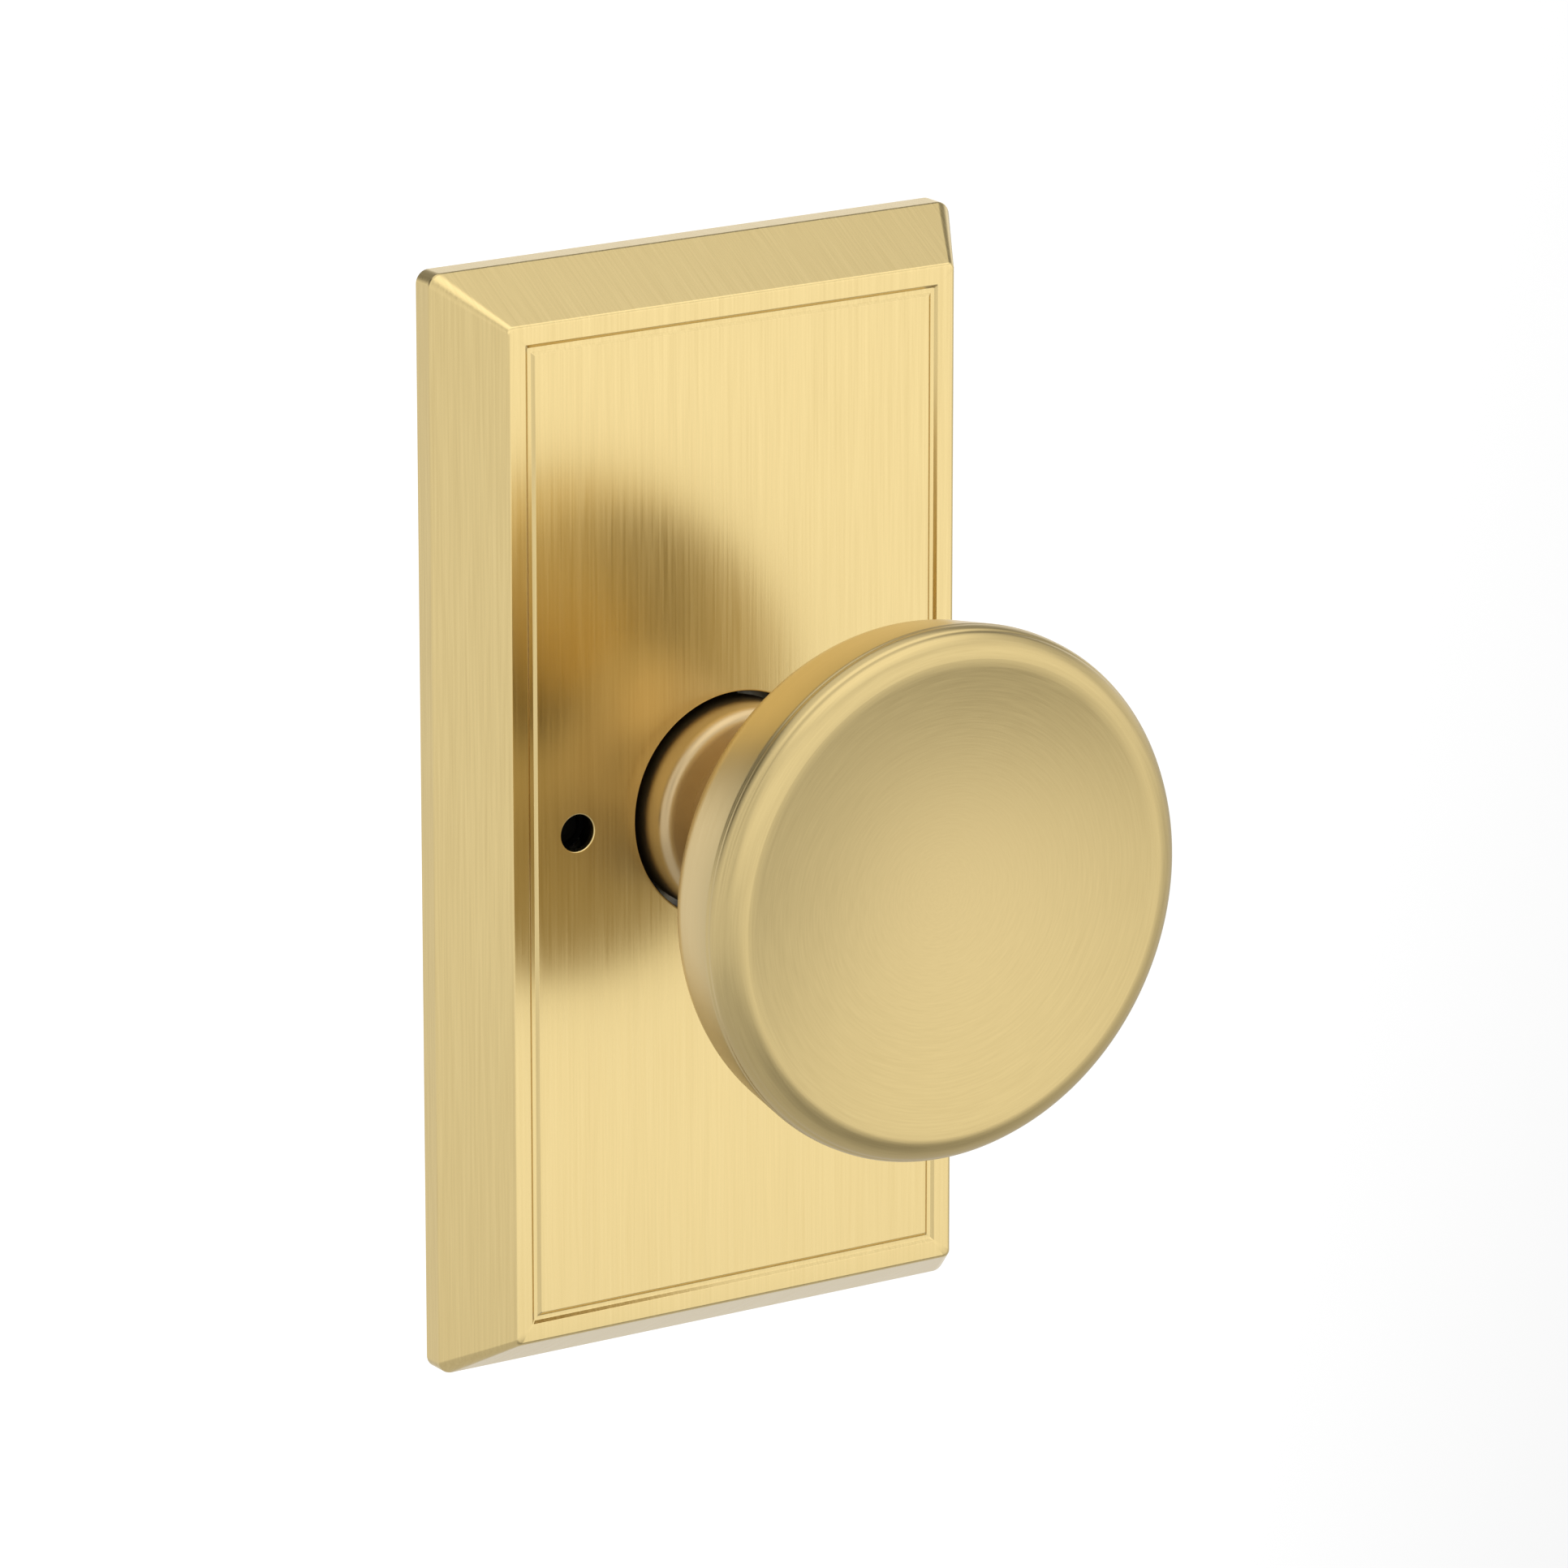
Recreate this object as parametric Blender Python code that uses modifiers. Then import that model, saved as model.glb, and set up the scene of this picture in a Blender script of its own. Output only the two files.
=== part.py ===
"""Round door knob on a tall bevelled plate: the outside half of a privacy set.

Metres, +Z up. The origin is on the spindle's axis, in the plane of the door's face.
The knob points to -Y and the door is on the +Y side, where x runs to the right.

Every piece is modelled in the lock's bench frame, as it would lie on a table with the
door side down: x to the right, y up the door, z out of the door towards the hand.
One empty, lock_frame, stands that bench frame up against the door.
"""
import math

import bmesh
import bpy
from mathutils import Matrix, Vector

# --- Driving dimensions, in metres ---
FIT_GAP = 0.0003            # clearance between pieces that touch
OVERLAP = 0.0004            # how far bodies that become one reach into each other
BORE_LOW, BORE_HIGH = -0.010, 0.020     # a through hole starts and ends clear of the piece

PLATE_WIDTH = 0.070
PLATE_HEIGHT = 0.130
PLATE_DEPTH = 0.0115        # door face to the plate's front face
PLATE_RIM = 0.0028          # upright edge below the bevel
PLATE_BEVEL = 0.0051        # how far the bevel leans in
PLATE_WALL = 0.0008
PLATE_HIP_ROUND = 0.0012
PANEL_BORDER = 0.0022       # flat border outside the groove
GROOVE_SIDE = 0.0004
GROOVE_FLOOR = 0.00045
GROOVE_DEPTH = 0.00028
SHANK_HOLE_RADIUS = 0.0134
RELEASE_X = -0.0212
RELEASE_HOLE_RADIUS = 0.00217

KNOB_DEPTH = 0.057          # door face to the crest of the knob's rim
KNOB_DISH = 0.003           # the face sinks this far towards its middle
KNOB_RADIUS = 0.0308
KNOB_RIM_ROUND = 0.0033
KNOB_TAPER = math.radians(9.5)      # side of the bowl behind the rim
KNOB_TAPER_END = 0.047              # depth where the side turns into the shoulder
KNOB_SHOULDER_ROUND = 0.0065
KNOB_CONE = math.radians(50.0)      # back of the bowl
KNOB_WALL = 0.001
NECK_RADIUS = 0.009
NECK_START = 0.0183

COLLAR_RADIUS = 0.0126
COLLAR_BACK = 0.0087
COLLAR_FRONT = 0.0162
COLLAR_ROUND = 0.0016
COLLAR_EDGE = 0.0004

TUBE_RADIUS = 0.007
TUBE_BORE = 0.0053
TUBE_FRONT = 0.045
TUBE_BACK = -0.003
SPINDLE_SIDE = 0.007
SPINDLE_FRONT = 0.040
SPINDLE_BACK = -0.045
SPINDLE_PIN_RADIUS = 0.0012
SPINDLE_PIN_DEPTH = 0.035

DOOR_BORE_RADIUS = 0.027
BACKING_THICKNESS = 0.0016
BACKING_MARGIN = 0.0008     # between the backing and the inside of the plate's rim
MOUNT_RADIUS = 0.031
MOUNT_THICKNESS = 0.002
POST_OFFSET = 0.021
POST_RADIUS = 0.004
POST_BACK = -0.022
POST_THREAD_RADIUS = 0.0018

CAGE_RADIUS = 0.0168
CAGE_WALL = 0.0008
CAGE_FRONT = 0.0098
CAGE_EAR_RADIUS = 0.0215
CAGE_SCREW_RADIUS = 0.0015
CAGE_SCREW_ANGLES = (45, 135, 225, 315)

KNOB_TURN = math.radians(50.0)
CAM_RADIUS = 0.0122
CAM_EAR_REACH = 0.0156
CAM_EAR_WIDTH = 0.0044
CAM_TAB_START = 0.0134      # the ear's bent tab, which the spring's legs grip
STOP_WIDTH = 0.0034
STOP_INNER = 0.0132
STOP_CLEARANCE = math.radians(0.6)

SPRING_RADIUS = 0.0109
SPRING_WIRE = 0.0004
SPRING_TURNS = 2
RELEASE_PIN_RADIUS = 0.0014

# --- Depths that follow from them ---
MOUNT_BACK = BACKING_THICKNESS + FIT_GAP
MOUNT_FRONT = MOUNT_BACK + MOUNT_THICKNESS
CAGE_BACK = MOUNT_FRONT + FIT_GAP
CAM_FRONT = COLLAR_BACK - FIT_GAP
CAM_BACK = CAM_FRONT - 0.0008
RUN_BORE = TUBE_RADIUS + FIT_GAP


# --- Scene and helpers ---
for old in list(bpy.data.objects):
    bpy.data.objects.remove(old, do_unlink=True)

parts = bpy.data.collections.new("door_knob")
cutters = bpy.data.collections.new("cutters")
bpy.context.scene.collection.children.link(parts)
bpy.context.scene.collection.children.link(cutters)

lock_frame = bpy.data.objects.new("lock_frame", None)
lock_frame.rotation_euler = (math.radians(90), 0, 0)
parts.objects.link(lock_frame)

release_axis = bpy.data.objects.new("release_axis", None)
release_axis.parent = lock_frame
release_axis.location = (RELEASE_X, 0, 0)
parts.objects.link(release_axis)


def material(name, colour, roughness, metallic):
    """One Principled finish."""
    made = bpy.data.materials.new(name)
    made.use_nodes = True
    shader = made.node_tree.nodes["Principled BSDF"]
    shader.inputs["Base Color"].default_value = (*colour, 1)
    shader.inputs["Roughness"].default_value = roughness
    shader.inputs["Metallic"].default_value = metallic
    made.diffuse_color = (*colour, 1)
    return made


def place(name, mesh, finish, parent=lock_frame, location=(0, 0, 0), turn=0.0):
    """Put a mesh in the lock as one named piece."""
    piece = bpy.data.objects.new(name, mesh)
    piece.parent = parent
    piece.location = location
    piece.rotation_euler = (0, 0, turn)
    mesh.materials.append(finish)
    parts.objects.link(piece)
    return piece


def mesh_from(bm, name):
    mesh = bpy.data.meshes.new(name)
    bm.to_mesh(mesh)
    bm.free()
    return mesh


def shade_round(mesh, angle=35):
    mesh.shade_smooth()
    mesh.set_sharp_from_angle(angle=math.radians(angle))


def arc(centre, radius, start, end, steps):
    """Points on an arc in the (radius, depth) plane, angles in degrees from outwards."""
    points = []
    for step in range(steps + 1):
        angle = math.radians(start + (end - start) * step / steps)
        points.append((centre[0] + radius * math.cos(angle),
                       centre[1] + radius * math.sin(angle)))
    return points


def turned_mesh(name, profile, closed=True):
    """A profile of (radius, depth) points that runs down its outer side."""
    bm = bmesh.new()
    verts = [bm.verts.new((radius, 0, depth)) for radius, depth in profile]
    for first, second in zip(verts, verts[1:]):
        bm.edges.new((first, second))
    if closed:
        bm.edges.new((verts[-1], verts[0]))
    return mesh_from(bm, name)


def turned(name, profile, finish, steps=48, closed=True, **where):
    """A turned piece: the profile carried round the bench frame's z axis."""
    piece = place(name, turned_mesh(name, profile, closed), finish, **where)
    screw = piece.modifiers.new("turn", 'SCREW')
    screw.axis = 'Z'
    screw.angle = math.tau
    screw.steps = steps
    screw.render_steps = steps
    screw.use_merge_vertices = True
    screw.merge_threshold = 0.00001
    screw.use_smooth_shade = False
    return piece


def cylinder_mesh(name, radius, low, high, segments=40):
    bm = bmesh.new()
    centre = Matrix.Translation((0, 0, (low + high) / 2))
    bmesh.ops.create_cone(bm, cap_ends=True, segments=segments, radius1=radius,
                          radius2=radius, depth=high - low, matrix=centre)
    return mesh_from(bm, name)


def box_mesh(name, low, high):
    low, high = Vector(low), Vector(high)
    bm = bmesh.new()
    size = Matrix.Diagonal((*(high - low), 1))
    bmesh.ops.create_cube(bm, size=1, matrix=Matrix.Translation((low + high) / 2) @ size)
    return mesh_from(bm, name)


def tool(mesh, parent=lock_frame, location=(0, 0, 0), rotation=(0, 0, 0)):
    """A hidden body that cuts or joins a piece."""
    body = bpy.data.objects.new(mesh.name, mesh)
    body.parent = parent
    body.location = location
    body.rotation_euler = rotation
    body.hide_render = True
    body.display_type = 'WIRE'
    cutters.objects.link(body)
    return body


def combine(piece, body, operation='DIFFERENCE'):
    step = piece.modifiers.new(operation.lower(), 'BOOLEAN')
    step.operation = operation
    step.solver = 'EXACT'
    step.object = body
    return step


def drill(piece, radius, centre, low=BORE_LOW, high=BORE_HIGH, segments=32):
    """A straight hole along the bench frame's z axis."""
    mesh = cylinder_mesh(piece.name + "_drill", radius, low, high, segments)
    combine(piece, tool(mesh, location=(centre[0], centre[1], 0)))


def at_angle(radius, degrees):
    angle = math.radians(degrees)
    return radius * math.cos(angle), radius * math.sin(angle)


def wire_piece(name, points, radius, finish, parent=lock_frame):
    """A wire as a thick poly curve with closed ends."""
    curve = bpy.data.curves.new(name, 'CURVE')
    curve.dimensions = '3D'
    curve.bevel_depth = radius
    curve.bevel_resolution = 2
    curve.use_fill_caps = True
    spline = curve.splines.new('POLY')
    spline.points.add(len(points) - 1)
    for target, point in zip(spline.points, points):
        target.co = (*point, 1)
    piece = bpy.data.objects.new(name, curve)
    piece.parent = parent
    curve.materials.append(finish)
    parts.objects.link(piece)
    return piece


satin_brass = material("satin_brass", (0.80, 0.62, 0.30), 0.32, 1.0)
black_moulding = material("black_moulding", (0.02, 0.02, 0.02), 0.6, 0.0)
zinc_steel = material("zinc_steel", (0.62, 0.62, 0.60), 0.38, 1.0)
plain_steel = material("plain_steel", (0.45, 0.45, 0.46), 0.42, 1.0)
spring_steel = material("spring_steel", (0.30, 0.30, 0.32), 0.35, 1.0)
black_oxide = material("black_oxide", (0.03, 0.03, 0.03), 0.55, 1.0)
bronze = material("oiled_bronze", (0.45, 0.28, 0.13), 0.45, 1.0)


# --- Escutcheon plate: a stamped brass pan, bevelled and grooved ---
def escutcheon_mesh():
    bm = bmesh.new()
    size = Matrix.Diagonal((PLATE_WIDTH, PLATE_HEIGHT, PLATE_RIM, 1))
    bmesh.ops.create_cube(bm, size=1, matrix=Matrix.Translation((0, 0, PLATE_RIM / 2)) @ size)
    front = max(bm.faces, key=lambda face: face.calc_center_median().z)
    back = min(bm.faces, key=lambda face: face.calc_center_median().z)
    bmesh.ops.delete(bm, geom=[back], context='FACES_ONLY')
    insets = ((PLATE_BEVEL, PLATE_DEPTH - PLATE_RIM), (PANEL_BORDER, 0),
              (GROOVE_SIDE, -GROOVE_DEPTH), (GROOVE_FLOOR, 0), (GROOVE_SIDE, GROOVE_DEPTH))
    for thickness, depth in insets:
        bmesh.ops.inset_individual(bm, faces=[front], thickness=thickness, depth=depth,
                                   use_even_offset=True)
    hips = []
    for edge in bm.edges:
        along = (edge.verts[1].co - edge.verts[0].co).normalized()
        if abs(along.z) > 0.6:
            hips.append(edge)
    bmesh.ops.bevel(bm, geom=hips, offset=PLATE_HIP_ROUND, offset_type='OFFSET',
                    segments=3, profile=0.5, affect='EDGES')
    return mesh_from(bm, "escutcheon_plate")


plate = place("escutcheon_plate", escutcheon_mesh(), satin_brass)
wall = plate.modifiers.new("sheet", 'SOLIDIFY')
wall.thickness = PLATE_WALL
wall.offset = -1
wall.use_even_offset = True
drill(plate, SHANK_HOLE_RADIUS, (0, 0), segments=64)
drill(plate, RELEASE_HOLE_RADIUS, (RELEASE_X, 0), segments=24)


# --- Backing: the black moulded sheet that the plate clips on, over the door's bore ---
half_x = PLATE_WIDTH / 2 - PLATE_WALL - BACKING_MARGIN
half_y = PLATE_HEIGHT / 2 - PLATE_WALL - BACKING_MARGIN
backing = place("backing_frame", box_mesh("backing_frame", (-half_x, -half_y, 0),
                                          (half_x, half_y, BACKING_THICKNESS)), black_moulding)
drill(backing, DOOR_BORE_RADIUS, (0, 0), segments=56)


# --- Plate clips: four leaf springs on the backing that grip the plate's inside ---
CLIP_WIDTH = 0.008
CLIP_THICKNESS = 0.0004
CLIP_FOOT = 0.007
CLIP_HEIGHT = 0.0055
CLIP_LEAN = 0.0014
CLIP_BEND = 0.0008
CLIP_LIP = 0.0006
CLIP_Y = 0.045
clip_foot_z = BACKING_THICKNESS + FIT_GAP


def clip_mesh():
    """A foot, a bend and a leaning leg, drawn as a strip and given its thickness."""
    outline = [(-CLIP_FOOT, clip_foot_z), (-CLIP_BEND, clip_foot_z),
               (-CLIP_BEND / 4, clip_foot_z + CLIP_BEND / 2), (-CLIP_LEAN, CLIP_HEIGHT),
               (-CLIP_LEAN - CLIP_BEND, CLIP_HEIGHT + CLIP_LIP)]
    bm = bmesh.new()
    verts = [bm.verts.new((x, -CLIP_WIDTH / 2, z)) for x, z in outline]
    edges = [bm.edges.new(pair) for pair in zip(verts, verts[1:])]
    swept = bmesh.ops.extrude_edge_only(bm, edges=edges)["geom"]
    moved = [item for item in swept if isinstance(item, bmesh.types.BMVert)]
    bmesh.ops.translate(bm, verts=moved, vec=(0, CLIP_WIDTH, 0))
    bmesh.ops.recalc_face_normals(bm, faces=bm.faces)
    if max(bm.faces, key=lambda face: face.calc_area()).normal.z < 0:
        bmesh.ops.reverse_faces(bm, faces=bm.faces)
    return mesh_from(bm, "plate_clip")


clip_x = half_x - CLIP_THICKNESS
clip_spots = (("right_upper", clip_x, CLIP_Y, 0), ("left_upper", -clip_x, CLIP_Y, math.pi),
              ("left_lower", -clip_x, -CLIP_Y, math.pi), ("right_lower", clip_x, -CLIP_Y, 0))
for label, x, y, turn in clip_spots:
    clip = place("plate_clip_" + label, clip_mesh(), spring_steel, location=(x, y, 0), turn=turn)
    leaf = clip.modifiers.new("leaf", 'SOLIDIFY')
    leaf.thickness = CLIP_THICKNESS
    leaf.offset = 1
    leaf.use_even_offset = True


# --- Mounting plate: the steel disc that the through-screws pull against the door ---
mount = place("mounting_plate", cylinder_mesh("mounting_plate", MOUNT_RADIUS, MOUNT_BACK,
                                              MOUNT_FRONT, 48), zinc_steel)
BUSHING_RADIUS = 0.009
TENON_RADIUS = 0.0025
GUIDE_RADIUS = 0.003
drill(mount, BUSHING_RADIUS + FIT_GAP, (0, 0))
for side in (1, -1):
    drill(mount, TENON_RADIUS + FIT_GAP, (0, side * POST_OFFSET), segments=20)
drill(mount, GUIDE_RADIUS + FIT_GAP, (RELEASE_X, 0), segments=24)
for degrees in CAGE_SCREW_ANGLES:
    drill(mount, CAGE_SCREW_RADIUS + FIT_GAP, at_angle(CAGE_EAR_RADIUS, degrees), segments=16)


# --- Threaded posts: staked into the mounting plate, the screws of the inside half enter them ---
POST_HEAD_RADIUS = 0.0036
POST_HEAD_THICKNESS = 0.0008
POST_EDGE = 0.0005
THREAD_DEPTH = 0.016
THREAD_CONE = 0.001
post_head = MOUNT_FRONT + FIT_GAP
post_top = post_head + POST_HEAD_THICKNESS
post_profile = [(0, post_top), (POST_HEAD_RADIUS - POST_EDGE, post_top),
                (POST_HEAD_RADIUS, post_top - POST_EDGE), (POST_HEAD_RADIUS, post_head),
                (TENON_RADIUS, post_head), (TENON_RADIUS, MOUNT_BACK - FIT_GAP),
                (POST_RADIUS, MOUNT_BACK - FIT_GAP), (POST_RADIUS, POST_BACK + POST_EDGE),
                (POST_RADIUS - POST_EDGE, POST_BACK), (POST_THREAD_RADIUS, POST_BACK),
                (POST_THREAD_RADIUS, POST_BACK + THREAD_DEPTH),
                (0, POST_BACK + THREAD_DEPTH + THREAD_CONE)]
for label, side in (("upper", 1), ("lower", -1)):
    turned("threaded_post_" + label, post_profile, zinc_steel, steps=20, closed=False,
           location=(0, side * POST_OFFSET, 0))


# --- Spring cage: the cup that houses the return spring, with two stops for the cam ---
CAGE_HOLE = 0.0136
CAGE_EAR_WIDTH = 0.007
CAGE_EAR_THICKNESS = 0.001
cage_profile = [(CAGE_RADIUS, CAGE_FRONT), (CAGE_RADIUS, CAGE_BACK),
                (CAGE_RADIUS - CAGE_WALL, CAGE_BACK),
                (CAGE_RADIUS - CAGE_WALL, CAGE_FRONT - CAGE_WALL),
                (CAGE_HOLE, CAGE_FRONT - CAGE_WALL), (CAGE_HOLE, CAGE_FRONT)]
cage = turned("spring_cage", cage_profile, zinc_steel, steps=40)
for degrees in CAGE_SCREW_ANGLES:
    ear = box_mesh("cage_ear", (CAGE_RADIUS - OVERLAP, -CAGE_EAR_WIDTH / 2, CAGE_BACK),
                   (CAGE_EAR_RADIUS + CAGE_EAR_WIDTH / 2, CAGE_EAR_WIDTH / 2,
                    CAGE_BACK + CAGE_EAR_THICKNESS))
    combine(cage, tool(ear, rotation=(0, 0, math.radians(degrees))), 'UNION')
stop_angle = (KNOB_TURN + math.atan(STOP_WIDTH / 2 / STOP_INNER)
              + math.atan(CAM_EAR_WIDTH / 2 / STOP_INNER) + STOP_CLEARANCE)
for side in (1, -1):
    stop = box_mesh("cage_stop", (STOP_INNER, -STOP_WIDTH / 2, CAGE_BACK),
                    (CAGE_RADIUS - OVERLAP, STOP_WIDTH / 2, CAGE_FRONT - OVERLAP))
    combine(cage, tool(stop, rotation=(0, 0, math.pi / 2 + side * stop_angle)), 'UNION')
for degrees in CAGE_SCREW_ANGLES:
    drill(cage, CAGE_SCREW_RADIUS + FIT_GAP, at_angle(CAGE_EAR_RADIUS, degrees), segments=16)


# --- Cage screws: four pan heads that hold the cage to the mounting plate ---
SCREW_HEAD_RADIUS = 0.0026
SCREW_HEAD_THICKNESS = 0.0013
SCREW_HEAD_ROUND = 0.0008
SCREW_TIP_EDGE = 0.0004
screw_seat = CAGE_BACK + CAGE_EAR_THICKNESS + FIT_GAP
screw_top = screw_seat + SCREW_HEAD_THICKNESS
screw_tip = MOUNT_BACK + 0.0002
screw_profile = ([(0, screw_top)]
                 + arc((SCREW_HEAD_RADIUS - SCREW_HEAD_ROUND, screw_top - SCREW_HEAD_ROUND),
                       SCREW_HEAD_ROUND, 90, 0, 2)
                 + [(SCREW_HEAD_RADIUS, screw_seat), (CAGE_SCREW_RADIUS, screw_seat),
                    (CAGE_SCREW_RADIUS, screw_tip + SCREW_TIP_EDGE),
                    (CAGE_SCREW_RADIUS - SCREW_TIP_EDGE, screw_tip), (0, screw_tip)])
for number, degrees in enumerate(CAGE_SCREW_ANGLES, start=1):
    turned("cage_screw_%d" % number, screw_profile, zinc_steel, steps=16, closed=False,
           location=(*at_angle(CAGE_EAR_RADIUS, degrees), 0))


# --- Hub bushing: the bronze bearing that the shank tube turns in ---
BUSHING_FLANGE = 0.0099
BUSHING_FLANGE_FRONT = CAGE_BACK + 0.0004
BUSHING_FRONT = 0.0071
bushing_profile = [(BUSHING_RADIUS, BUSHING_FRONT), (BUSHING_RADIUS, BUSHING_FLANGE_FRONT),
                   (BUSHING_FLANGE, BUSHING_FLANGE_FRONT), (BUSHING_FLANGE, CAGE_BACK),
                   (BUSHING_RADIUS, CAGE_BACK), (BUSHING_RADIUS, MOUNT_BACK),
                   (RUN_BORE, MOUNT_BACK), (RUN_BORE, BUSHING_FRONT)]
turned("hub_bushing", bushing_profile, bronze, steps=32)


# --- Return spring: a torsion coil round the bushing, one leg on each side of the cam's ear ---
leg_x = CAM_EAR_WIDTH / 2 + FIT_GAP + SPRING_WIRE
leg_angle = math.asin(leg_x / SPRING_RADIUS)
SPRING_LOW = CAGE_BACK + 0.0007
SPRING_PITCH = 0.001
SPRING_LEG_START = 0.013
POINTS_PER_TURN = 18
spring_points = [(-leg_x, CAM_EAR_REACH, SPRING_LOW), (-leg_x, SPRING_LEG_START, SPRING_LOW)]
sweep = math.tau * SPRING_TURNS - 2 * leg_angle
coil_steps = POINTS_PER_TURN * SPRING_TURNS
for step in range(coil_steps + 1):
    angle = math.pi / 2 + leg_angle + sweep * step / coil_steps
    height = SPRING_LOW + SPRING_PITCH * SPRING_TURNS * step / coil_steps
    spring_points.append((SPRING_RADIUS * math.cos(angle), SPRING_RADIUS * math.sin(angle), height))
spring_top = SPRING_LOW + SPRING_PITCH * SPRING_TURNS
spring_points += [(leg_x, SPRING_LEG_START, spring_top), (leg_x, CAM_EAR_REACH, spring_top)]
wire_piece("return_spring", spring_points, SPRING_WIRE, spring_steel)


# --- Release guide: the flanged sleeve behind the plate's small hole ---
GUIDE_FLANGE = 0.004
GUIDE_FLANGE_FRONT = CAGE_BACK + 0.0008
GUIDE_FRONT = 0.0078
GUIDE_BACK = -0.002
GUIDE_FLOOR = -0.0009
GUIDE_POCKET = 0.0025
guide_profile = [(GUIDE_RADIUS, GUIDE_FRONT), (GUIDE_RADIUS, GUIDE_FLANGE_FRONT),
                 (GUIDE_FLANGE, GUIDE_FLANGE_FRONT), (GUIDE_FLANGE, CAGE_BACK),
                 (GUIDE_RADIUS, CAGE_BACK), (GUIDE_RADIUS, GUIDE_BACK),
                 (RELEASE_PIN_RADIUS + FIT_GAP, GUIDE_BACK),
                 (RELEASE_PIN_RADIUS + FIT_GAP, GUIDE_FLOOR), (GUIDE_POCKET, GUIDE_FLOOR),
                 (GUIDE_POCKET, GUIDE_FRONT)]
turned("release_guide", guide_profile, bronze, steps=24, parent=release_axis)


# --- Release pin: pushed by a pin tool through the small hole, its tip works the privacy lock ---
PIN_HEAD_FRONT = 0.008
PIN_HEAD_BACK = 0.0068
PIN_HEAD_RADIUS = 0.0022
PIN_HEAD_EDGE = 0.0005
PIN_TIP = -0.014
PIN_TIP_RADIUS = 0.0007
PIN_TIP_TAPER = 0.001
PIN_GROOVE_FRONT = -0.0026
PIN_GROOVE_RADIUS = 0.001
PIN_CLIP_RADIUS = 0.0029
PIN_CLIP_THICKNESS = 0.0005
PIN_CLIP_FIT = 0.0002
PIN_CLIP_MOUTH = 0.0018
pin_groove_back = PIN_GROOVE_FRONT - PIN_CLIP_THICKNESS - FIT_GAP
pin_profile = [(0, PIN_HEAD_FRONT), (PIN_HEAD_RADIUS - PIN_HEAD_EDGE, PIN_HEAD_FRONT),
               (PIN_HEAD_RADIUS, PIN_HEAD_FRONT - PIN_HEAD_EDGE),
               (PIN_HEAD_RADIUS, PIN_HEAD_BACK), (RELEASE_PIN_RADIUS, PIN_HEAD_BACK),
               (RELEASE_PIN_RADIUS, PIN_GROOVE_FRONT), (PIN_GROOVE_RADIUS, PIN_GROOVE_FRONT),
               (PIN_GROOVE_RADIUS, pin_groove_back), (RELEASE_PIN_RADIUS, pin_groove_back),
               (RELEASE_PIN_RADIUS, PIN_TIP + PIN_TIP_TAPER), (PIN_TIP_RADIUS, PIN_TIP),
               (0, PIN_TIP)]
turned("release_pin", pin_profile, black_oxide, steps=20, closed=False, parent=release_axis)

clip_low = pin_groove_back + FIT_GAP / 2
clip_high = clip_low + PIN_CLIP_THICKNESS
pin_clip_profile = [(PIN_CLIP_RADIUS, clip_high), (PIN_CLIP_RADIUS, clip_low),
                    (PIN_GROOVE_RADIUS + PIN_CLIP_FIT, clip_low),
                    (PIN_GROOVE_RADIUS + PIN_CLIP_FIT, clip_high)]
pin_clip = turned("release_pin_clip", pin_clip_profile, spring_steel, steps=24,
                  parent=release_axis)
mouth = box_mesh("pin_clip_mouth", (-PIN_CLIP_MOUTH / 2, 0, BORE_LOW),
                 (PIN_CLIP_MOUTH / 2, 2 * PIN_CLIP_RADIUS, 0))
combine(pin_clip, tool(mouth, parent=release_axis))

RELEASE_SPRING_RADIUS = 0.00195
RELEASE_SPRING_WIRE = 0.00022
RELEASE_SPRING_TURNS = 5
RELEASE_SPRING_SEAT = 0.0001
low = GUIDE_FLOOR + RELEASE_SPRING_WIRE + RELEASE_SPRING_SEAT
high = PIN_HEAD_BACK - RELEASE_SPRING_WIRE - RELEASE_SPRING_SEAT
steps = RELEASE_SPRING_TURNS * 10
release_points = []
for step in range(steps + 1):
    angle = math.tau * RELEASE_SPRING_TURNS * step / steps
    release_points.append((RELEASE_SPRING_RADIUS * math.cos(angle),
                           RELEASE_SPRING_RADIUS * math.sin(angle),
                           low + (high - low) * step / steps))
wire_piece("release_spring", release_points, RELEASE_SPRING_WIRE, spring_steel, release_axis)


# --- Knob shell: one drawn brass shell, dished face, rim and bowl, open at the neck ---
DISH_STEPS = 3


def knob_outline():
    """The outside of the knob, from the middle of its face down to the neck."""
    rim_radius = KNOB_RADIUS - KNOB_RIM_ROUND
    rim_depth = KNOB_DEPTH - KNOB_RIM_ROUND
    taper = math.degrees(KNOB_TAPER)
    points = []
    for step in range(DISH_STEPS):
        share = step / DISH_STEPS
        points.append((rim_radius * share, KNOB_DEPTH - KNOB_DISH * (1 - share ** 2)))
    points += arc((rim_radius, rim_depth), KNOB_RIM_ROUND, 90, -taper, 5)
    drop = points[-1][1] - KNOB_TAPER_END
    side_radius = points[-1][0] - drop * math.tan(KNOB_TAPER)
    cone = math.degrees(KNOB_CONE)
    shoulder = (side_radius - KNOB_SHOULDER_ROUND * math.cos(KNOB_TAPER),
                KNOB_TAPER_END + KNOB_SHOULDER_ROUND * math.sin(KNOB_TAPER))
    points += arc(shoulder, KNOB_SHOULDER_ROUND, -taper, -cone, 3)
    cone_radius, cone_depth = points[-1]
    # The flare is an arc that meets the neck square and the cone at the cone's slope.
    run = cone_depth - NECK_START
    fall = cone_radius - NECK_RADIUS
    slope = math.tan(KNOB_CONE)
    flare = (run - fall / slope) / (math.sin(KNOB_CONE)
                                    - (1 - math.cos(KNOB_CONE)) / slope)
    points += arc((NECK_RADIUS + flare, NECK_START), flare, 180 - cone, 180, 5)
    return points


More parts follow.
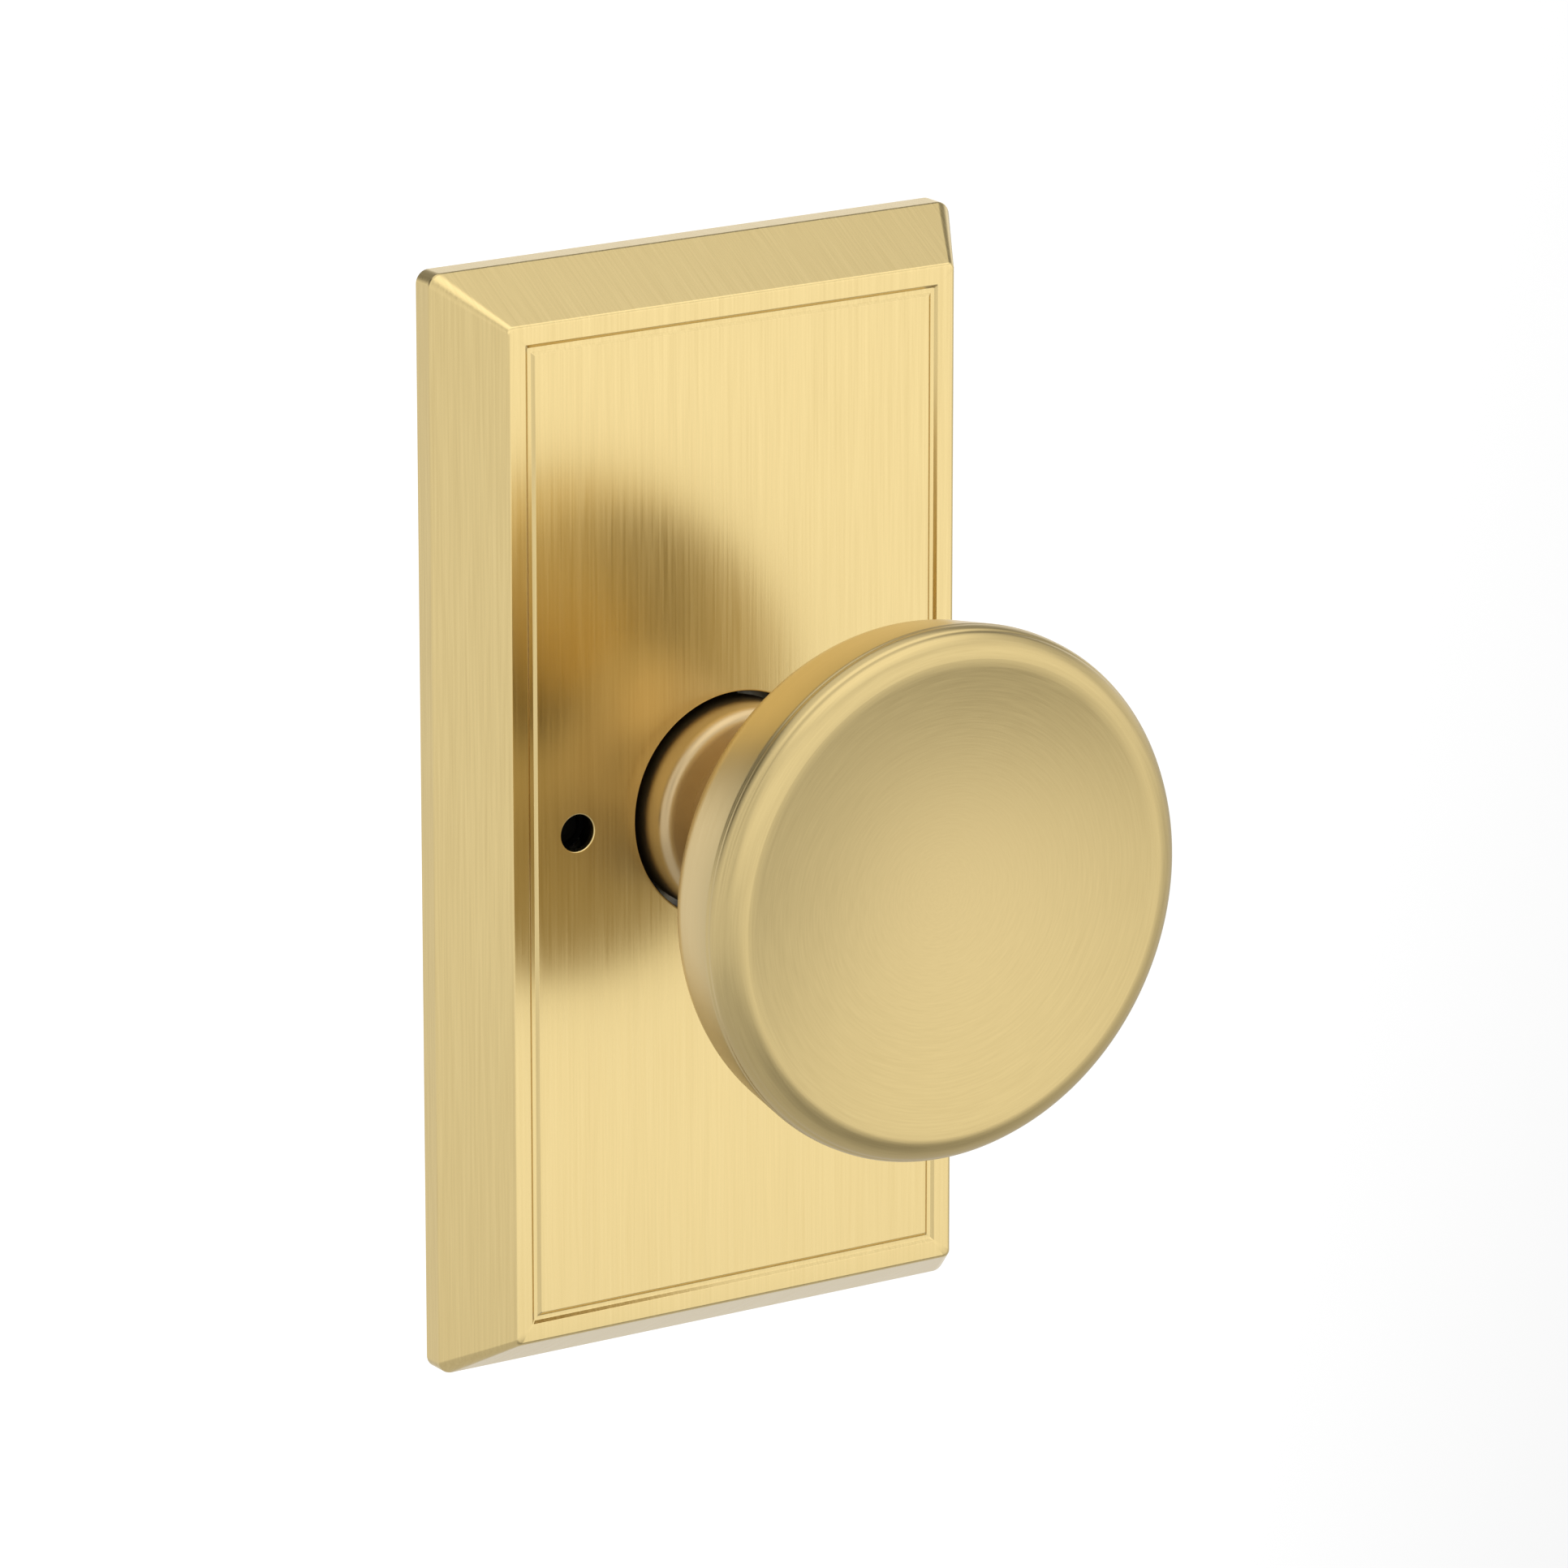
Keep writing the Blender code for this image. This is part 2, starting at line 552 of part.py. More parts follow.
shell = turned("knob_shell", knob_outline(), satin_brass, steps=48, closed=False)
skin = shell.modifiers.new("sheet", 'SOLIDIFY')
skin.thickness = KNOB_WALL
skin.offset = -1
skin.use_even_offset = True


# --- Neck collar: the turned brass ring that fills the plate's hole and steps down to the neck ---
collar_top = NECK_START - FIT_GAP
round_centre = (COLLAR_RADIUS - COLLAR_ROUND, COLLAR_FRONT - COLLAR_ROUND)
collar_profile = ([(NECK_RADIUS, collar_top), (NECK_RADIUS, COLLAR_FRONT)]
                  + arc(round_centre, COLLAR_ROUND, 90, 0, 4)
                  + [(COLLAR_RADIUS, COLLAR_BACK + COLLAR_EDGE),
                     (COLLAR_RADIUS - COLLAR_EDGE, COLLAR_BACK), (RUN_BORE, COLLAR_BACK),
                     (RUN_BORE, collar_top)])
turned("neck_collar", collar_profile, satin_brass, steps=48)


# --- Shank tube: carries the knob, turns in the bushing, grooved for its ring ---
RING_FRONT = 0.0003
RING_THICKNESS = 0.0009
RING_GROOVE = 0.0062
groove_front = RING_FRONT + FIT_GAP
groove_back = RING_FRONT - RING_THICKNESS - FIT_GAP
tube_profile = [(TUBE_RADIUS, TUBE_FRONT), (TUBE_RADIUS, groove_front),
                (RING_GROOVE, groove_front), (RING_GROOVE, groove_back),
                (TUBE_RADIUS, groove_back), (TUBE_RADIUS, TUBE_BACK), (TUBE_BORE, TUBE_BACK),
                (TUBE_BORE, TUBE_FRONT)]
tube = turned("shank_tube", tube_profile, plain_steel, steps=32)
across = (0, math.pi / 2, 0)
pin_hole = cylinder_mesh("tube_pin_hole", SPINDLE_PIN_RADIUS + FIT_GAP, -2 * TUBE_RADIUS,
                         2 * TUBE_RADIUS, 16)
combine(tube, tool(pin_hole, location=(0, 0, SPINDLE_PIN_DEPTH), rotation=across))


# --- Knob spider: the pressed dish inside the shell, on the tube's end ---
SPIDER_RADIUS = 0.0266
SPIDER_BACK = 0.0445
SPIDER_WALL = 0.0012
SPIDER_LIP = 0.006
SPIDER_SPREAD = 0.0022      # how much wider the lip is than the disc
SPIDER_HUB_RADIUS = 0.009
SPIDER_HUB_BACK = 0.0385
spider_lip = SPIDER_BACK + SPIDER_LIP
spider_profile = [(SPIDER_RADIUS + SPIDER_SPREAD, spider_lip),
                  (SPIDER_RADIUS + SPIDER_WALL / 2, SPIDER_BACK + SPIDER_WALL * 1.4),
                  (SPIDER_RADIUS, SPIDER_BACK), (SPIDER_HUB_RADIUS, SPIDER_BACK),
                  (SPIDER_HUB_RADIUS, SPIDER_HUB_BACK), (RUN_BORE, SPIDER_HUB_BACK),
                  (RUN_BORE, SPIDER_BACK + SPIDER_WALL),
                  (SPIDER_RADIUS - SPIDER_WALL / 2, SPIDER_BACK + SPIDER_WALL),
                  (SPIDER_RADIUS + SPIDER_SPREAD - SPIDER_WALL, spider_lip)]
turned("knob_spider", spider_profile, zinc_steel, steps=36)


# --- Spindle bar and its cross pin: turn the latch inside the door ---
SPINDLE_EDGE = 0.0004
SPINDLE_PIN_HALF = 0.0066
half = SPINDLE_SIDE / 2
spindle = place("spindle_bar", box_mesh("spindle_bar", (-half, -half, SPINDLE_BACK),
                                        (half, half, SPINDLE_FRONT)), zinc_steel)
edges = spindle.modifiers.new("edges", 'BEVEL')
edges.width = SPINDLE_EDGE
edges.segments = 1
bar_hole = cylinder_mesh("bar_pin_hole", SPINDLE_PIN_RADIUS + FIT_GAP, -SPINDLE_SIDE,
                         SPINDLE_SIDE, 16)
combine(spindle, tool(bar_hole, location=(0, 0, SPINDLE_PIN_DEPTH), rotation=across))
pin_mesh = cylinder_mesh("spindle_pin", SPINDLE_PIN_RADIUS, -SPINDLE_PIN_HALF,
                         SPINDLE_PIN_HALF, 16)
pin = place("spindle_pin", pin_mesh, plain_steel, location=(0, 0, SPINDLE_PIN_DEPTH))
pin.rotation_euler = across


# --- Drive cam: keyed to the tube, its ear winds the spring and meets the cage's stops ---
cam_profile = [(CAM_RADIUS, CAM_FRONT), (CAM_RADIUS, CAM_BACK), (RUN_BORE, CAM_BACK),
               (RUN_BORE, CAM_FRONT)]
cam = turned("drive_cam", cam_profile, plain_steel, steps=36)
cam_ear = box_mesh("cam_ear", (-CAM_EAR_WIDTH / 2, CAM_RADIUS - OVERLAP, CAM_BACK),
                   (CAM_EAR_WIDTH / 2, CAM_EAR_REACH, CAM_FRONT))
combine(cam, tool(cam_ear), 'UNION')
cam_tab = box_mesh("cam_tab", (-CAM_EAR_WIDTH / 2, CAM_TAB_START, CAGE_BACK + FIT_GAP),
                   (CAM_EAR_WIDTH / 2, CAM_EAR_REACH, CAM_BACK + OVERLAP / 2))
combine(cam, tool(cam_tab), 'UNION')


# --- Thrust washer and retaining ring: hold the tube in the bushing from behind ---
WASHER_RADIUS = 0.0112
RING_RADIUS = 0.0095
RING_MOUTH = 0.008
washer_profile = [(WASHER_RADIUS, MOUNT_BACK - FIT_GAP), (WASHER_RADIUS, RING_FRONT + FIT_GAP),
                  (RUN_BORE, RING_FRONT + FIT_GAP), (RUN_BORE, MOUNT_BACK - FIT_GAP)]
turned("thrust_washer", washer_profile, bronze, steps=32)
ring_profile = [(RING_RADIUS, RING_FRONT), (RING_RADIUS, RING_FRONT - RING_THICKNESS),
                (RING_GROOVE + FIT_GAP, RING_FRONT - RING_THICKNESS),
                (RING_GROOVE + FIT_GAP, RING_FRONT)]
ring = turned("retaining_ring", ring_profile, spring_steel, steps=32)
ring_mouth = box_mesh("ring_mouth", (-RING_MOUTH / 2, -2 * RING_RADIUS, BORE_LOW),
                      (RING_MOUTH / 2, 0, BORE_HIGH))
combine(ring, tool(ring_mouth))

for piece in parts.objects:
    if piece.type == 'MESH':
        shade_round(piece.data)
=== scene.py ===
"""Satin brass door knob on its tall bevelled plate, with the works behind it.

Metres, +Z up. The spindle's axis is the world's Y axis, the door's face is y = 0 and the
knob points to -Y. Depths below are distances out from the door, so depth d is y = -d.
"""
import math

import bmesh
import bpy
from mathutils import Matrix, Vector


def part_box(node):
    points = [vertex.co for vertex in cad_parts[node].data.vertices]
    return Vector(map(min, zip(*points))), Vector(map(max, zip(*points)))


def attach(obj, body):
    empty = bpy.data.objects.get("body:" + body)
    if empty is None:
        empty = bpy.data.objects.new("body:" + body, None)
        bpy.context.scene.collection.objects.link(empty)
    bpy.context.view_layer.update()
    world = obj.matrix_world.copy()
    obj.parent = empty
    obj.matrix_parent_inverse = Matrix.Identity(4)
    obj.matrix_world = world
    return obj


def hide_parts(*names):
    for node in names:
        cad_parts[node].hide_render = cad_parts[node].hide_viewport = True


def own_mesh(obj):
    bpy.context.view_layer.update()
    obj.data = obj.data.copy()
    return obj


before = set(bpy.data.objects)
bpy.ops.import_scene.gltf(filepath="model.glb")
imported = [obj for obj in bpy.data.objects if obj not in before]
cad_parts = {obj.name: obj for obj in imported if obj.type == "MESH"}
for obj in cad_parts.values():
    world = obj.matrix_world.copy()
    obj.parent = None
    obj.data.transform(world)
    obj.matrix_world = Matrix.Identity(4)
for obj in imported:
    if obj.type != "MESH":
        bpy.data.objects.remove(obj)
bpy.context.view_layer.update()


# ---------------------------------------------------------------------------------------
# Studio. A pale floor well below the knob, which is no lamp but glows, with its light and the shade
# below the knob painted into its emission, and a soft white room with no lamps in it, only
# brighter and darker walls for the brass to mirror. The camera looks from the left and above.
# ---------------------------------------------------------------------------------------
scene = bpy.context.scene
scene.view_settings.view_transform = 'Standard'

CAMERA_SIDE = math.radians(-32.97)
CAMERA_LIFT = math.radians(15.98)
CAMERA_DISTANCE = 1.1540
CAMERA_ASIDE = 0.011867     # the spindle's foot lies this far left of the view's middle
CAMERA_BELOW = -0.000228

camera_data = bpy.data.cameras.new("camera")
camera_data.sensor_width = 36.0
camera_data.lens = 229.32
camera = bpy.data.objects.new("camera", camera_data)
scene.collection.objects.link(camera)
back = Vector((math.sin(CAMERA_SIDE) * math.cos(CAMERA_LIFT),
               -math.cos(CAMERA_SIDE) * math.cos(CAMERA_LIFT), math.sin(CAMERA_LIFT)))
camera.rotation_mode = 'QUATERNION'
camera.rotation_quaternion = (-back).to_track_quat('-Z', 'Y')
across = camera.rotation_quaternion @ Vector((1, 0, 0))
upward = camera.rotation_quaternion @ Vector((0, 1, 0))
camera.location = back * CAMERA_DISTANCE + across * CAMERA_ASIDE + upward * CAMERA_BELOW
scene.camera = camera


class Value:
    """A shader socket that can stand in sums, so that a pattern reads as a formula."""

    def __init__(self, tree, socket):
        self.tree = tree
        self.socket = socket

    def of(self, operation, *others):
        """The value put through one Math node, with any other terms it takes."""
        node = self.tree.nodes.new("ShaderNodeMath")
        node.operation = operation
        for socket, term in zip(node.inputs, (self,) + others):
            plug(self.tree, socket, term)
        return Value(self.tree, node.outputs[0])

    def __add__(self, other):
        return self.of('ADD', other)

    def __sub__(self, other):
        return self.of('SUBTRACT', other)

    def __rsub__(self, other):
        return self.of('MULTIPLY', -1.0).of('ADD', other)

    def __mul__(self, other):
        return self.of('MULTIPLY', other)

    def __truediv__(self, other):
        return self.of('DIVIDE', other)

    def __pow__(self, other):
        return self.of('POWER', other)

    __radd__ = __add__
    __rmul__ = __mul__


def plug(tree, socket, given):
    """Links a value to a socket, or sets the socket's own constant."""
    if isinstance(given, Value):
        tree.links.new(given.socket, socket)
    else:
        socket.default_value = given


class Pattern:
    """Adds nodes to one node tree."""

    def __init__(self, tree):
        self.tree = tree

    def node(self, kind, settings=None, inputs=None, output=0):
        """Adds a node: its settings are set first, then its sockets' values or links."""
        made = self.tree.nodes.new("ShaderNode" + kind)
        for setting, choice in (settings or {}).items():
            setattr(made, setting, choice)
        for socket, given in (inputs or {}).items():
            plug(self.tree, made.inputs[socket], given)
        return Value(self.tree, made.outputs[output])

    def place(self, kind="Object"):
        """The x, y and z of Object coordinates, or of another kind."""
        parts = self.tree.nodes.new("ShaderNodeSeparateXYZ")
        plug(self.tree, parts.inputs[0], self.node("TexCoord", output=kind))
        return [Value(self.tree, parts.outputs[axis]) for axis in range(3)]

    def colour(self, red, green, blue):
        """A colour whose channels are values."""
        return self.node("CombineXYZ", inputs={0: red, 1: green, 2: blue})

    def noise(self, x, y, z, w=0.0, detail=2.0, roughness=0.5):
        """Noise at a point whose coordinates are already scaled, in cells."""
        point = self.node("CombineXYZ", inputs={0: x, 1: y, 2: z})
        return self.node("TexNoise", {"noise_dimensions": '4D'},
                         {"Vector": point, "W": w, "Scale": 1.0, "Detail": detail,
                          "Roughness": roughness}, output=0)

    def fade(self, value, low, high, start=0.0, end=1.0):
        """Maps low..high to start..end, and holds the ends."""
        return self.node("MapRange", {"clamp": True},
                         {0: value, 1: low, 2: high, 3: start, 4: end})

    def blend(self, share, first, second):
        """Mixes two colours."""
        return self.node("Mix", {"data_type": 'RGBA'}, {0: share, 6: first, 7: second},
                         output=2)

    def bump(self, height, distance, strength=1.0):
        return self.node("Bump", None, {"Strength": strength, "Distance": distance,
                                        "Height": height})

    def rise(self, value, low, high):
        """Rises softly from 0 at low to 1 at high."""
        return self.node("MapRange", {"interpolation_type": 'SMOOTHSTEP', "clamp": True},
                         {0: value, 1: low, 2: high, 3: 0.0, 4: 1.0})

    def slab(self, value, low, high, soft):
        """1 between low and high, 0 outside, with soft ends."""
        return (self.rise(value, low - soft, low + soft)
                * (1 - self.rise(value, high - soft, high + soft)))


class Finish(Pattern):
    """A Principled material with constants on its own sockets, and patterns linked in."""

    def __init__(self, name, **constants):
        self.material = bpy.data.materials.new(name)
        self.material.use_nodes = True
        super().__init__(self.material.node_tree)
        self.shader = self.tree.nodes["Principled BSDF"]
        for socket, constant in constants.items():
            self.shader.inputs[socket.replace("_", " ")].default_value = constant

    def feed(self, socket, value):
        plug(self.tree, self.shader.inputs[socket], value)


# The floor is a dark grey sheet that glows. Its light is painted into its emission: painted shade
# below the knob and painted light further out. Its lobes are a bearing, how sharp, and what the
# far floor gains there.
STUDIO = 1.45               # how much brighter the whole room is than plain white
FLOOR_DEPTH = -0.50
FLOOR_SIZE = 40
FLOOR_NEAR = 0.46
FLOOR_FAR = 0.70
FLOOR_LOBES = ((30, 5, 0.27), (147, 12, 0.15), (-149, 6, -0.08), (118, 6, -0.30))
SHADE_X, SHADE_Y = -0.136, -0.21
SHADE_START, SHADE_END = 0.76, 1.06
# Painted shadow: a darker spot painted into the floor's glow in front of the knob.
SPOT = 0.20                 # a darker spot in front of the knob
SPOT_X, SPOT_Y = 0.2, -0.55
SPOT_START, SPOT_END = 0.2, 0.5
# Painted shade: a dimmer patch painted into the floor's glow to the front right.
DIM = 0.28                  # a dimmer patch to the front right
DIM_FROM, DIM_TO, DIM_SOFT = 41.0, 80.0, 4.0
DIM_START, DIM_END = 2.2, 3.2
DEGREES = 180 / math.pi
# The floor's own colour is dark grey. All of its brightness is painted emission, not lamp light.
floor_painted_glow = Finish("floor_painted_glow", Roughness=0.9, Specular_IOR_Level=0.0, Emission_Strength=1.0,
                     Base_Color=(0.05, 0.05, 0.05, 1))
x, y, z = floor_painted_glow.place()
reach = (x * x + y * y) ** 0.5 + 0.001
shade = ((x - SHADE_X) ** 2 + (y - SHADE_Y) ** 2) ** 0.5
spot = ((x - SPOT_X) ** 2 + (y - SPOT_Y) ** 2) ** 0.5
far = FLOOR_FAR
for lobe, sharpness, gain in FLOOR_LOBES:
    facing = (x * math.sin(math.radians(lobe)) - y * math.cos(math.radians(lobe))) / reach
    far = facing.of('MAXIMUM', 0.0) ** sharpness * gain + far
way = x.of('ARCTAN2', y * -1.0) * DEGREES
far = far - (floor_painted_glow.slab(way, DIM_FROM, DIM_TO, DIM_SOFT)
             * (1 - floor_painted_glow.rise(reach, DIM_START, DIM_END)) * DIM)
# Painted shade: the glow falls to the near level below the knob, and the spot darkens it further in
# front.
glow = (far - FLOOR_NEAR) * floor_painted_glow.rise(shade, SHADE_START, SHADE_END) + FLOOR_NEAR
glow = (glow - (1 - floor_painted_glow.rise(spot, SPOT_START, SPOT_END)) * SPOT) * STUDIO
floor_painted_glow.feed("Emission Color", floor_painted_glow.colour(glow, glow, glow))
bpy.ops.object.select_all(action='DESELECT')
bpy.ops.mesh.primitive_plane_add(size=FLOOR_SIZE, location=(0, 0, FLOOR_DEPTH))
floor = bpy.context.object
floor.name = "floor"
floor.data.materials.append(floor_painted_glow.material)

# The room: white walls with soft dark corners, and a darker shelf behind the knob. Bearings
# and lifts are in degrees, from the knob's front and from the level.
WALLS = 0.80
FRONT = 0.30                # the wall in front is this much brighter
FRONT_FROM, FRONT_TO, FRONT_LIFT, FRONT_SOFT = -45.0, 65.0, 30.0, 8.0
CORNER = 0.55
CORNERS = ((-62.0, 3.5), (-135.0, 3.5), (77.0, 3.0))
CORNER_SOFT = 4.0
CORNER_FADE, CORNER_TOP = 28.0, 50.0
CEILING = 0.44
CEILING_FROM, CEILING_TO, CEILING_SOFT = -60.0, 90.0, 10.0
CEILING_START, CEILING_END = 40.0, 56.0
SHELF = 0.60
SHELF_BEARING, SHELF_SAG = 147.0, 0.2
SHELF_FROM, SHELF_TO, SHELF_SOFT = 92.0, -112.0, 12.0
SHELF_LOW, SHELF_FULL, SHELF_FADE, SHELF_HIGH = 13.0, 36.0, 44.0, 56.0
scene.world = bpy.data.worlds.new("room")
scene.world.use_nodes = True
room = Pattern(scene.world.node_tree)
x, y, z = room.place("Generated")
bearing = x.of('ARCTAN2', y * -1.0) * DEGREES
lift = z.of('ARCSINE') * DEGREES
front = (room.slab(bearing, FRONT_FROM, FRONT_TO, FRONT_SOFT)
         * room.slab(lift, -FRONT_LIFT, FRONT_LIFT, FRONT_SOFT))
light = (1 + front * FRONT) * WALLS
low_down = 1 - room.rise(lift, CORNER_FADE, CORNER_TOP)
for corner, width in CORNERS:
    dark = room.slab(bearing, corner - width, corner + width, CORNER_SOFT)
    light = light - dark * low_down * CORNER
light = light + (room.rise(lift, CEILING_START, CEILING_END)
                 * room.slab(bearing, CEILING_FROM, CEILING_TO, CEILING_SOFT) * CEILING)
behind = 1 - room.slab(bearing, SHELF_TO, SHELF_FROM, SHELF_SOFT)
turned = ((bearing - SHELF_BEARING + 540.0).of('MODULO', 360.0) - 180.0).of('ABSOLUTE')
shelf = (room.rise(lift + turned * SHELF_SAG, SHELF_LOW, SHELF_FULL)
         * (1 - room.rise(lift, SHELF_FADE, SHELF_HIGH)) * behind)
light = (light - shelf * SHELF) * STUDIO
plug(room.tree, room.tree.nodes["Background"].inputs["Color"], room.colour(light, light, light))


# ---------------------------------------------------------------------------------------
# Escutcheon plate. One stamped pan of 0.8 mm brass: upright edge, planar bevels, a fine
# rectangular groove, the shank's hole and the small release hole. Brushed up and down and
# lacquered.
# ---------------------------------------------------------------------------------------
MM = 0.001
plate_low, plate_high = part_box("escutcheon_plate")
PLATE_HALF_WIDTH = plate_high.x
PLATE_HALF_HEIGHT = plate_high.z
PLATE_DEPTH = -plate_low.y
PLATE_RIM = 2.8 * MM
PLATE_BEVEL = 5.1 * MM
PLATE_WALL = 0.8 * MM
RIM_CORNER = 1.6 * MM
FRONT_CORNER = 0.75 * MM
FINE_CORNER = 0.15 * MM
GROOVE_BORDER = 2.2 * MM
GROOVE_SIDE = 0.36 * MM
GROOVE_FLOOR = 0.5 * MM
GROOVE_DEPTH = 0.28 * MM
RIM_EDGE = 0.22 * MM
FRONT_EDGE = 0.30 * MM
GROOVE_EDGE = 0.05 * MM
CORNER_STEPS = 10
SHANK_HOLE = 13.4 * MM
RELEASE_X = (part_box("release_pin")[0].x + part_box("release_pin")[1].x) / 2
RELEASE_HOLE = 2.17 * MM
SHANK_HOLE_EDGE = 0.30 * MM
RELEASE_HOLE_EDGE = 0.2 * MM
DRILL_FRONT, DRILL_BACK = 20 * MM, 5 * MM
TOUCH = 0.002 * MM          # how near a point must be to count as on a line


def pick(test, kind='VERT'):
    """Selects what passes the test in the mesh being edited, by place or normal."""
    bpy.ops.mesh.select_mode(type=kind)
    bpy.ops.mesh.select_all(action='DESELECT')
    mesh = bpy.context.object.data
    editing = bmesh.from_edit_mesh(mesh)
    for item in {'VERT': editing.verts, 'EDGE': editing.edges, 'FACE': editing.faces}[kind]:
        if test(item):
            item.select_set(True)
    editing.select_flush_mode()
    bmesh.update_edit_mesh(mesh)


def edit():
    bpy.ops.object.mode_set(mode='EDIT')
    bpy.ops.mesh.select_mode(type='VERT')


def done(piece, angle=32):
    """Leaves edit mode, sets the piece down at the origin and shades its rounds smooth."""
    bpy.ops.object.mode_set(mode='OBJECT')
    bpy.ops.object.transform_apply(location=True, rotation=True, scale=True)
    bpy.ops.object.shade_smooth_by_angle(angle=math.radians(angle))
    return piece


def only(piece):
    bpy.ops.object.select_all(action='DESELECT')
    piece.select_set(True)
    bpy.context.view_layer.objects.active = piece


def settle(piece, kind, **settings):
    """Adds one modifier and applies it."""
    step = piece.modifiers.new(kind.lower(), kind)
    for setting, value in settings.items():
        setattr(step, setting, value)
    only(piece)
    bpy.ops.object.modifier_apply(modifier=step.name)


def cut(piece, tool, operation='DIFFERENCE'):
    """Cuts a piece with a tool body, which is then thrown away."""
    settle(piece, 'BOOLEAN', object=tool, operation=operation, solver='EXACT')
    bpy.data.objects.remove(tool, do_unlink=True)


def rod(radius, x, z, front, rear, steps=96):
    """A plain cylinder along Y, between two depths, for drilling or as a blank."""
    bpy.ops.object.select_all(action='DESELECT')
    bpy.ops.mesh.primitive_cylinder_add(vertices=steps, radius=radius, depth=front - rear,
                                        location=(x, -(front + rear) / 2, z),
                                        rotation=(math.pi / 2, 0, 0))
    bpy.ops.object.transform_apply(location=True, rotation=True, scale=True)
    return bpy.context.object


def from_outline(point, level):
    """How far a point is outside a rounded rectangle at its depth (less than 0 is inside)."""
    half_width, half_height, depth, corner = level
    over_x = abs(point.x) - half_width + corner
    over_z = abs(point.z) - half_height + corner
    outside = math.hypot(max(over_x, 0), max(over_z, 0)) + min(max(over_x, over_z), 0) - corner
    return max(abs(outside), abs(point.y + depth))


# The pan's outlines in order, from the middle of its inside, round its foot, to the middle
# of its front: half width, half height, depth and corner radius.
bevel_length = math.hypot(PLATE_BEVEL, PLATE_DEPTH - PLATE_RIM)
rise = (PLATE_DEPTH - PLATE_RIM) / bevel_length
lean = PLATE_BEVEL / bevel_length
inner_front = PLATE_BEVEL + PLATE_WALL * (1 - lean) / rise
inner_rim = PLATE_RIM - PLATE_WALL * (1 - rise) / lean


def outline_at(inset, depth, corner):
    return (PLATE_HALF_WIDTH - inset, PLATE_HALF_HEIGHT - inset, depth, corner)


levels = [outline_at(inner_front, PLATE_DEPTH - PLATE_WALL, FINE_CORNER),
          outline_at(PLATE_WALL, inner_rim, RIM_CORNER - PLATE_WALL),
          outline_at(PLATE_WALL, 0, RIM_CORNER - PLATE_WALL),
          outline_at(0, 0, RIM_CORNER)]
rim_level = outline_at(0, PLATE_RIM, RIM_CORNER)
front_level = outline_at(PLATE_BEVEL, PLATE_DEPTH, FRONT_CORNER)
groove_inset = PLATE_BEVEL + GROOVE_BORDER
groove_levels = []
for step, depth in ((0, PLATE_DEPTH), (GROOVE_SIDE, PLATE_DEPTH - GROOVE_DEPTH),
                    (GROOVE_FLOOR, PLATE_DEPTH - GROOVE_DEPTH), (GROOVE_SIDE, PLATE_DEPTH)):
    groove_inset += step
    groove_levels.append(outline_at(groove_inset, depth, FINE_CORNER))
levels += [rim_level, front_level] + groove_levels

bpy.ops.object.select_all(action='DESELECT')
bpy.ops.mesh.primitive_plane_add(size=1, location=(0, 0, 0))
plate = bpy.context.object
plate.name = "brass_plate"
edit()
bpy.ops.mesh.delete(type='VERT')
for half_width, half_height, depth, corner in levels:
    bpy.ops.mesh.primitive_plane_add(size=2, location=(0, -depth, 0),
                                     rotation=(math.pi / 2, 0, 0))
    bpy.ops.transform.resize(value=(half_width, 1, half_height),
                             center_override=(0, -depth, 0))
    bpy.ops.mesh.bevel(offset=corner, segments=CORNER_STEPS, affect='VERTICES',
                       clamp_overlap=False)
    bpy.ops.mesh.delete(type='ONLY_FACE')
for first, second in zip(levels, levels[1:]):
    pick(lambda vert: min(from_outline(vert.co, first), from_outline(vert.co, second)) < TOUCH)
    bpy.ops.mesh.bridge_edge_loops()
for level in (levels[0], levels[-1]):
    pick(lambda vert: from_outline(vert.co, level) < TOUCH)
    bpy.ops.mesh.edge_face_add()
bpy.ops.mesh.select_all(action='SELECT')
bpy.ops.mesh.normals_make_consistent(inside=False)
for level, width, segments in ([(rim_level, RIM_EDGE, 3), (front_level, FRONT_EDGE, 4)]
                               + [(level, GROOVE_EDGE, 2) for level in groove_levels]):
    pick(lambda edge: max(from_outline(vert.co, level) for vert in edge.verts) < TOUCH, 'EDGE')
    bpy.ops.mesh.bevel(offset=width, segments=segments, affect='EDGES')
done(plate)
cut(plate, rod(SHANK_HOLE, 0, 0, DRILL_FRONT, DRILL_BACK, 160))
cut(plate, rod(RELEASE_HOLE, RELEASE_X, 0, DRILL_FRONT, DRILL_BACK, 64))


def near_hole(vert, x, radius, depth):
    return (abs(math.hypot(vert.co.x - x, vert.co.z) - radius) < TOUCH
            and abs(vert.co.y + depth) < TOUCH)


only(plate)
edit()
for x, radius, width in ((0, SHANK_HOLE, SHANK_HOLE_EDGE),
                         (RELEASE_X, RELEASE_HOLE, RELEASE_HOLE_EDGE)):
    pick(lambda edge: all(near_hole(vert, x, radius, PLATE_DEPTH) for vert in edge.verts),
         'EDGE')
    bpy.ops.mesh.bevel(offset=width, segments=3, affect='EDGES')
done(plate)
settle(plate, 'WEIGHTED_NORMAL', mode='FACE_AREA', weight=100, keep_sharp=True)

